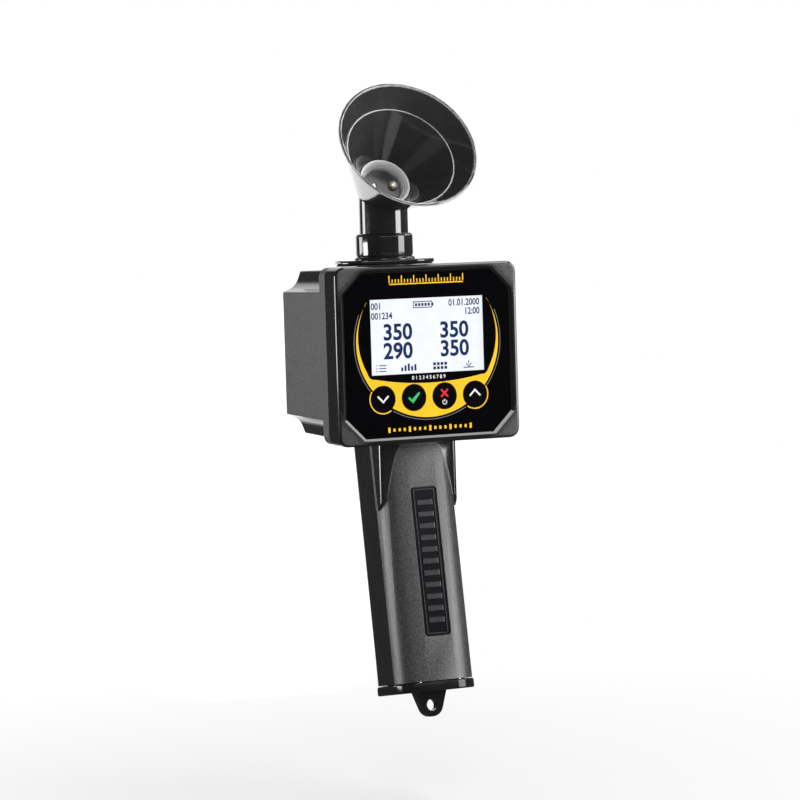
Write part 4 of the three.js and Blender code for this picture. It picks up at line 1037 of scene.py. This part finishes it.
def tickRow(half, height, wide, tall, short, steps, centred):
    # every fourth tick is a tall one
    ticks = []
    for step in range(steps + 1):
        x = -half + half * 2 * step / steps
        rise = short if step % 4 else tall
        bottom = height - rise / 2 if centred else height
        ticks.append([block(x - wide / 2, bottom, x + wide / 2, bottom + rise)])
    return ticks


def plainScales():
    # plain tick scales and a row of numbers
    look = plainMarks
    half, height, wide, tall, short, steps = look["top"]
    bar = [block(-half, height - look["topBar"], half, height)]
    ticks = tickRow(half, height + wide / 2, wide, tall, short, steps, False)
    printFilm("print_top_scale", [bar] + ticks, "yellow")
    printFilm("print_low_scale", tickRow(*look["low"], True), "yellow")
    row = textMesh(look["numbers"], look["numberHeight"], 0.95, 0.03)
    printOn("print_number_row", row, 0, look["numberDrop"], filmFace, inks["white"])


yellowBand()
outlineLines()
keySigns()
plainScales()
print("film prints made")


picture = {
    "left": -25.7, "right": 25.7, "top": 23.0, "bottom": -8.0, "face": 2.5,
    # figures with their shares of the way across and down
    "readings": [("350", 0.25, 0.45), ("350", 0.752, 0.45), ("290", 0.25, 0.70), ("350", 0.752, 0.70)],
    "rows": [("001", 0.02, 0.095, "LEFT"), ("001234", 0.02, 0.225, "LEFT"),
             ("01.01.2000", 0.985, 0.085, "RIGHT"), ("12:00", 0.985, 0.205, "RIGHT")],
    # height in millimetres, width against the font's own, and added weight
    "readingText": (6.6, 0.97, 0.24), "rowText": (2.75, 0.84, 0.07),
    "battery": (0.482, 0.09), "menu": (0.095, 0.335, 0.62, 0.875), "menuDown": 0.915, "pen": 0.36,
}


def printPicture(name, mesh, across, down):
    look = picture
    x = look["left"] + (look["right"] - look["left"]) * across
    z = look["top"] + (look["bottom"] - look["top"]) * down
    printOn(name, mesh, x, z, look["face"], inks["display"])


def displayPicture():
    for index, (figures, across, down) in enumerate(picture["readings"], 1):
        printPicture(f"reading_{index}", textMesh(figures, *picture["readingText"]), across, down)
    for index, (figures, across, down, align) in enumerate(picture["rows"], 1):
        printPicture(f"small_row_{index}", textMesh(figures, *picture["rowText"], align), across, down)
    case = [block(-4.6, -1.4, 4.1, 1.4), block(-4.25, -1.05, 3.75, 1.05)]
    charge = [[block(-3.7 + 1.45 * step, -0.6, -2.7 + 1.45 * step, 0.6)] for step in range(5)]
    printPicture("battery_sign", flatMesh([case, [block(4.1, -0.65, 4.7, 0.65)]] + charge), *picture["battery"])


def menuSigns():
    # plain signs in the menu row: a list, bars, a grid and an arrow over a line
    pen = picture["pen"]
    lines = [[block(left, row - pen / 2, right, row + pen / 2)]
             for left, right in ((-0.9, 2.4), (-2.2, -1.6)) for row in (-1.2, 0, 1.2)]
    bars = [[block(-3.2 + 1.5 * step, -1.5, -2.3 + 1.5 * step, -0.5 + height)]
            for step, height in enumerate((0.5, 1.3, 2.0, 0.9, 1.6))]
    grid = [[block(-3.2 + 1.7 * column, -1.5 + 1.7 * row, -2.0 + 1.7 * column, -0.3 + 1.7 * row)]
            for column in range(4) for row in range(2)]
    store = [[block(-2.4, -1.5, 2.4, -1.1)], [stroke([(-1.3, 0.35), (0, -0.85), (1.3, 0.35)], pen)],
             [block(-pen / 2, 0.2, pen / 2, 1.6)]]
    for index, (sign, across) in enumerate(zip((lines, bars, grid, store), picture["menu"]), 1):
        printPicture(f"menu_sign_{index}", flatMesh(sign), across, picture["menuDown"])


displayPicture()
menuSigns()
print("display picture made")


studio = {
    "floorColour": (0.86, 0.86, 0.86), "floorDrop": 0.034, "floorReach": 6,
    "floorGlow": 0.55, "floorFade": (0.08, 0.36),    # the floor's own glow near the piece, and where it grows
    "world": 0.13, "roomFront": 0.08, "backdropLevel": 1.35,
    # where the white backdrop hangs, its edge, and how flat the room lies
    "backdrop": (0.174, 0.985, 0), "backdropEdge": (0.927, 0.961), "roomFlat": (1, 1, 0.4),
    "lights": [
        # name, azimuth, height, distance, width, tall, strength, aim height
        ("key_box", 50, 0.32, 1.5, 0.76, 0.90, 18, 0.12),
        ("neck_rim", -134, 0.17, 1.25, 0.44, 0.32, 3.2, 0.15),
        ("grip_rim", -108, 0.015, 1.25, 0.50, 0.18, 4.9, 0.01),
        ("left_glint", 84, 0.84, 1.5, 0.5, 0.5, 4.0, 0.14),
        ("right_glint", -24, 1.18, 1.2, 0.36, 0.36, 2.8, 0.14),
        ("top_box", 81, 1.27, 0.60, 1.6, 0.34, 9, 0.12),
        ("front_fill", -6, 0.67, 1.5, 2.1, 0.6, 5.0, 0.05),
        ("back_fill", 112, 1.0, 1.8, 0.9, 0.9, 5, 0.10),
    ],
}


def raysOf(tree):
    # rays straight from the eye or through clear parts, and rays off polished parts
    paths = tree.add("ShaderNodeLightPath").outputs
    return tree.most(paths["Is Camera Ray"], paths["Is Transmission Ray"]), paths["Is Glossy Ray"]


def backdropLight(tree, aim):
    return tree.range(aim, studio["roomFront"], studio["backdropLevel"], *studio["backdropEdge"])


def makeFloor():
    # low enough for the battery cap at the end of its way out
    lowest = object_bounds()[0].z - studio["floorDrop"]
    bm = bmesh.new()
    bmesh.ops.create_grid(bm, x_segments=1, y_segments=1, size=studio["floorReach"])
    bmesh.ops.translate(bm, verts=bm.verts, vec=(0, 0, lowest))
    mesh = meshOf(bm, "floor")
    recipe = Recipe("floor_paint", roughness=0.9, specular=0.1)
    recipe.finish(recipe.tint(recipe.noise(220, 2), studio["floorColour"], 0.005))
    clear, glossy = raysOf(recipe)
    # away from the piece the floor runs out into the pale background
    spread = recipe.vector("LENGTH", recipe.place, result="Value")
    far = recipe.range(spread, studio["floorGlow"], 1, *studio["floorFade"])
    toBackdrop = recipe.vector("DOT_PRODUCT", recipe.place, studio["backdrop"], "Value")
    behind = backdropLight(recipe, recipe.math("DIVIDE", toBackdrop, recipe.most(spread, 0.3)))
    glow = recipe.add("ShaderNodeEmission")
    strength = recipe.most(recipe.minus(1.0, glossy), behind)
    recipe.feed(glow.inputs, ((1, 1, 1, 1), strength))
    share = recipe.most(recipe.times(clear, far), glossy)
    mix = recipe.add("ShaderNodeMixShader")
    recipe.feed(mix.inputs, (share, recipe.shader.outputs["BSDF"], glow.outputs["Emission"]))
    recipe.join(mix.outputs["Shader"], recipe.output.inputs["Surface"])
    newObject("floor", mesh, recipe.material)


def makeWorld():
    # white for the eye and for clear parts; polished parts see a dim room with a white backdrop behind them
    world = bpy.data.worlds.new("studio")
    scene.world = world
    world.use_nodes = True
    tree = NodeTree(world.node_tree)
    toward = tree.vector("MULTIPLY", tree.add("ShaderNodeTexCoord").outputs["Generated"], studio["roomFlat"])
    aim = tree.vector("DOT_PRODUCT", tree.vector("NORMALIZE", toward), studio["backdrop"], "Value")
    clear, glossy = raysOf(tree)
    seen = tree.most(clear, tree.times(glossy, backdropLight(tree, aim)))
    unseen = tree.minus(1.0, tree.most(clear, glossy))
    strength = tree.plus(seen, tree.times(unseen, studio["world"]))
    background = tree.add("ShaderNodeBackground")
    tree.feed(background.inputs, ((1, 1, 1, 1), strength))
    tree.join(background.outputs["Background"], tree.add("ShaderNodeOutputWorld").inputs["Surface"])


def makeLights():
    for name, azimuth, height, distance, width, tall, power, aim in studio["lights"]:
        light = bpy.data.lights.new(name, "AREA")
        light.shape = "RECTANGLE"
        light.size, light.size_y = width, tall
        light.energy = power
        holder = bpy.data.objects.new(name, light)
        turn = math.radians(azimuth)
        holder.location = (math.sin(turn) * distance, -math.cos(turn) * distance, height)
        toward = Vector((0, 0, aim)) - holder.location
        holder.rotation_euler = toward.to_track_quat("-Z", "Y").to_euler()
        scene.collection.objects.link(holder)


view = {
    "place": (-0.5653, -1.2044, 0.1660), "azimuth": -24.91, "elevation": 3.68, "roll": -1.68,
    "lens": 143.733, "sensor": 36, "clip": (0.01, 50),
}


def makeCamera():
    turn, tilt, roll = (math.radians(view[name]) for name in ("azimuth", "elevation", "roll"))
    back = Vector((math.sin(turn) * math.cos(tilt), -math.cos(turn) * math.cos(tilt), math.sin(tilt)))
    right = Vector((math.cos(turn), math.sin(turn), 0))
    up = back.cross(right)
    rightTurned = right * math.cos(roll) + up * math.sin(roll)
    upTurned = up * math.cos(roll) - right * math.sin(roll)
    data = bpy.data.cameras.new("camera")
    data.lens, data.sensor_width = view["lens"], view["sensor"]
    data.clip_start, data.clip_end = view["clip"]
    camera = bpy.data.objects.new("camera", data)
    turned = Matrix((rightTurned, upTurned, back)).transposed().to_4x4()
    camera.matrix_world = Matrix.Translation(view["place"]) @ turned
    scene.collection.objects.link(camera)
    scene.camera = camera


makeFloor()
makeWorld()
makeLights()
makeCamera()
print("studio made")
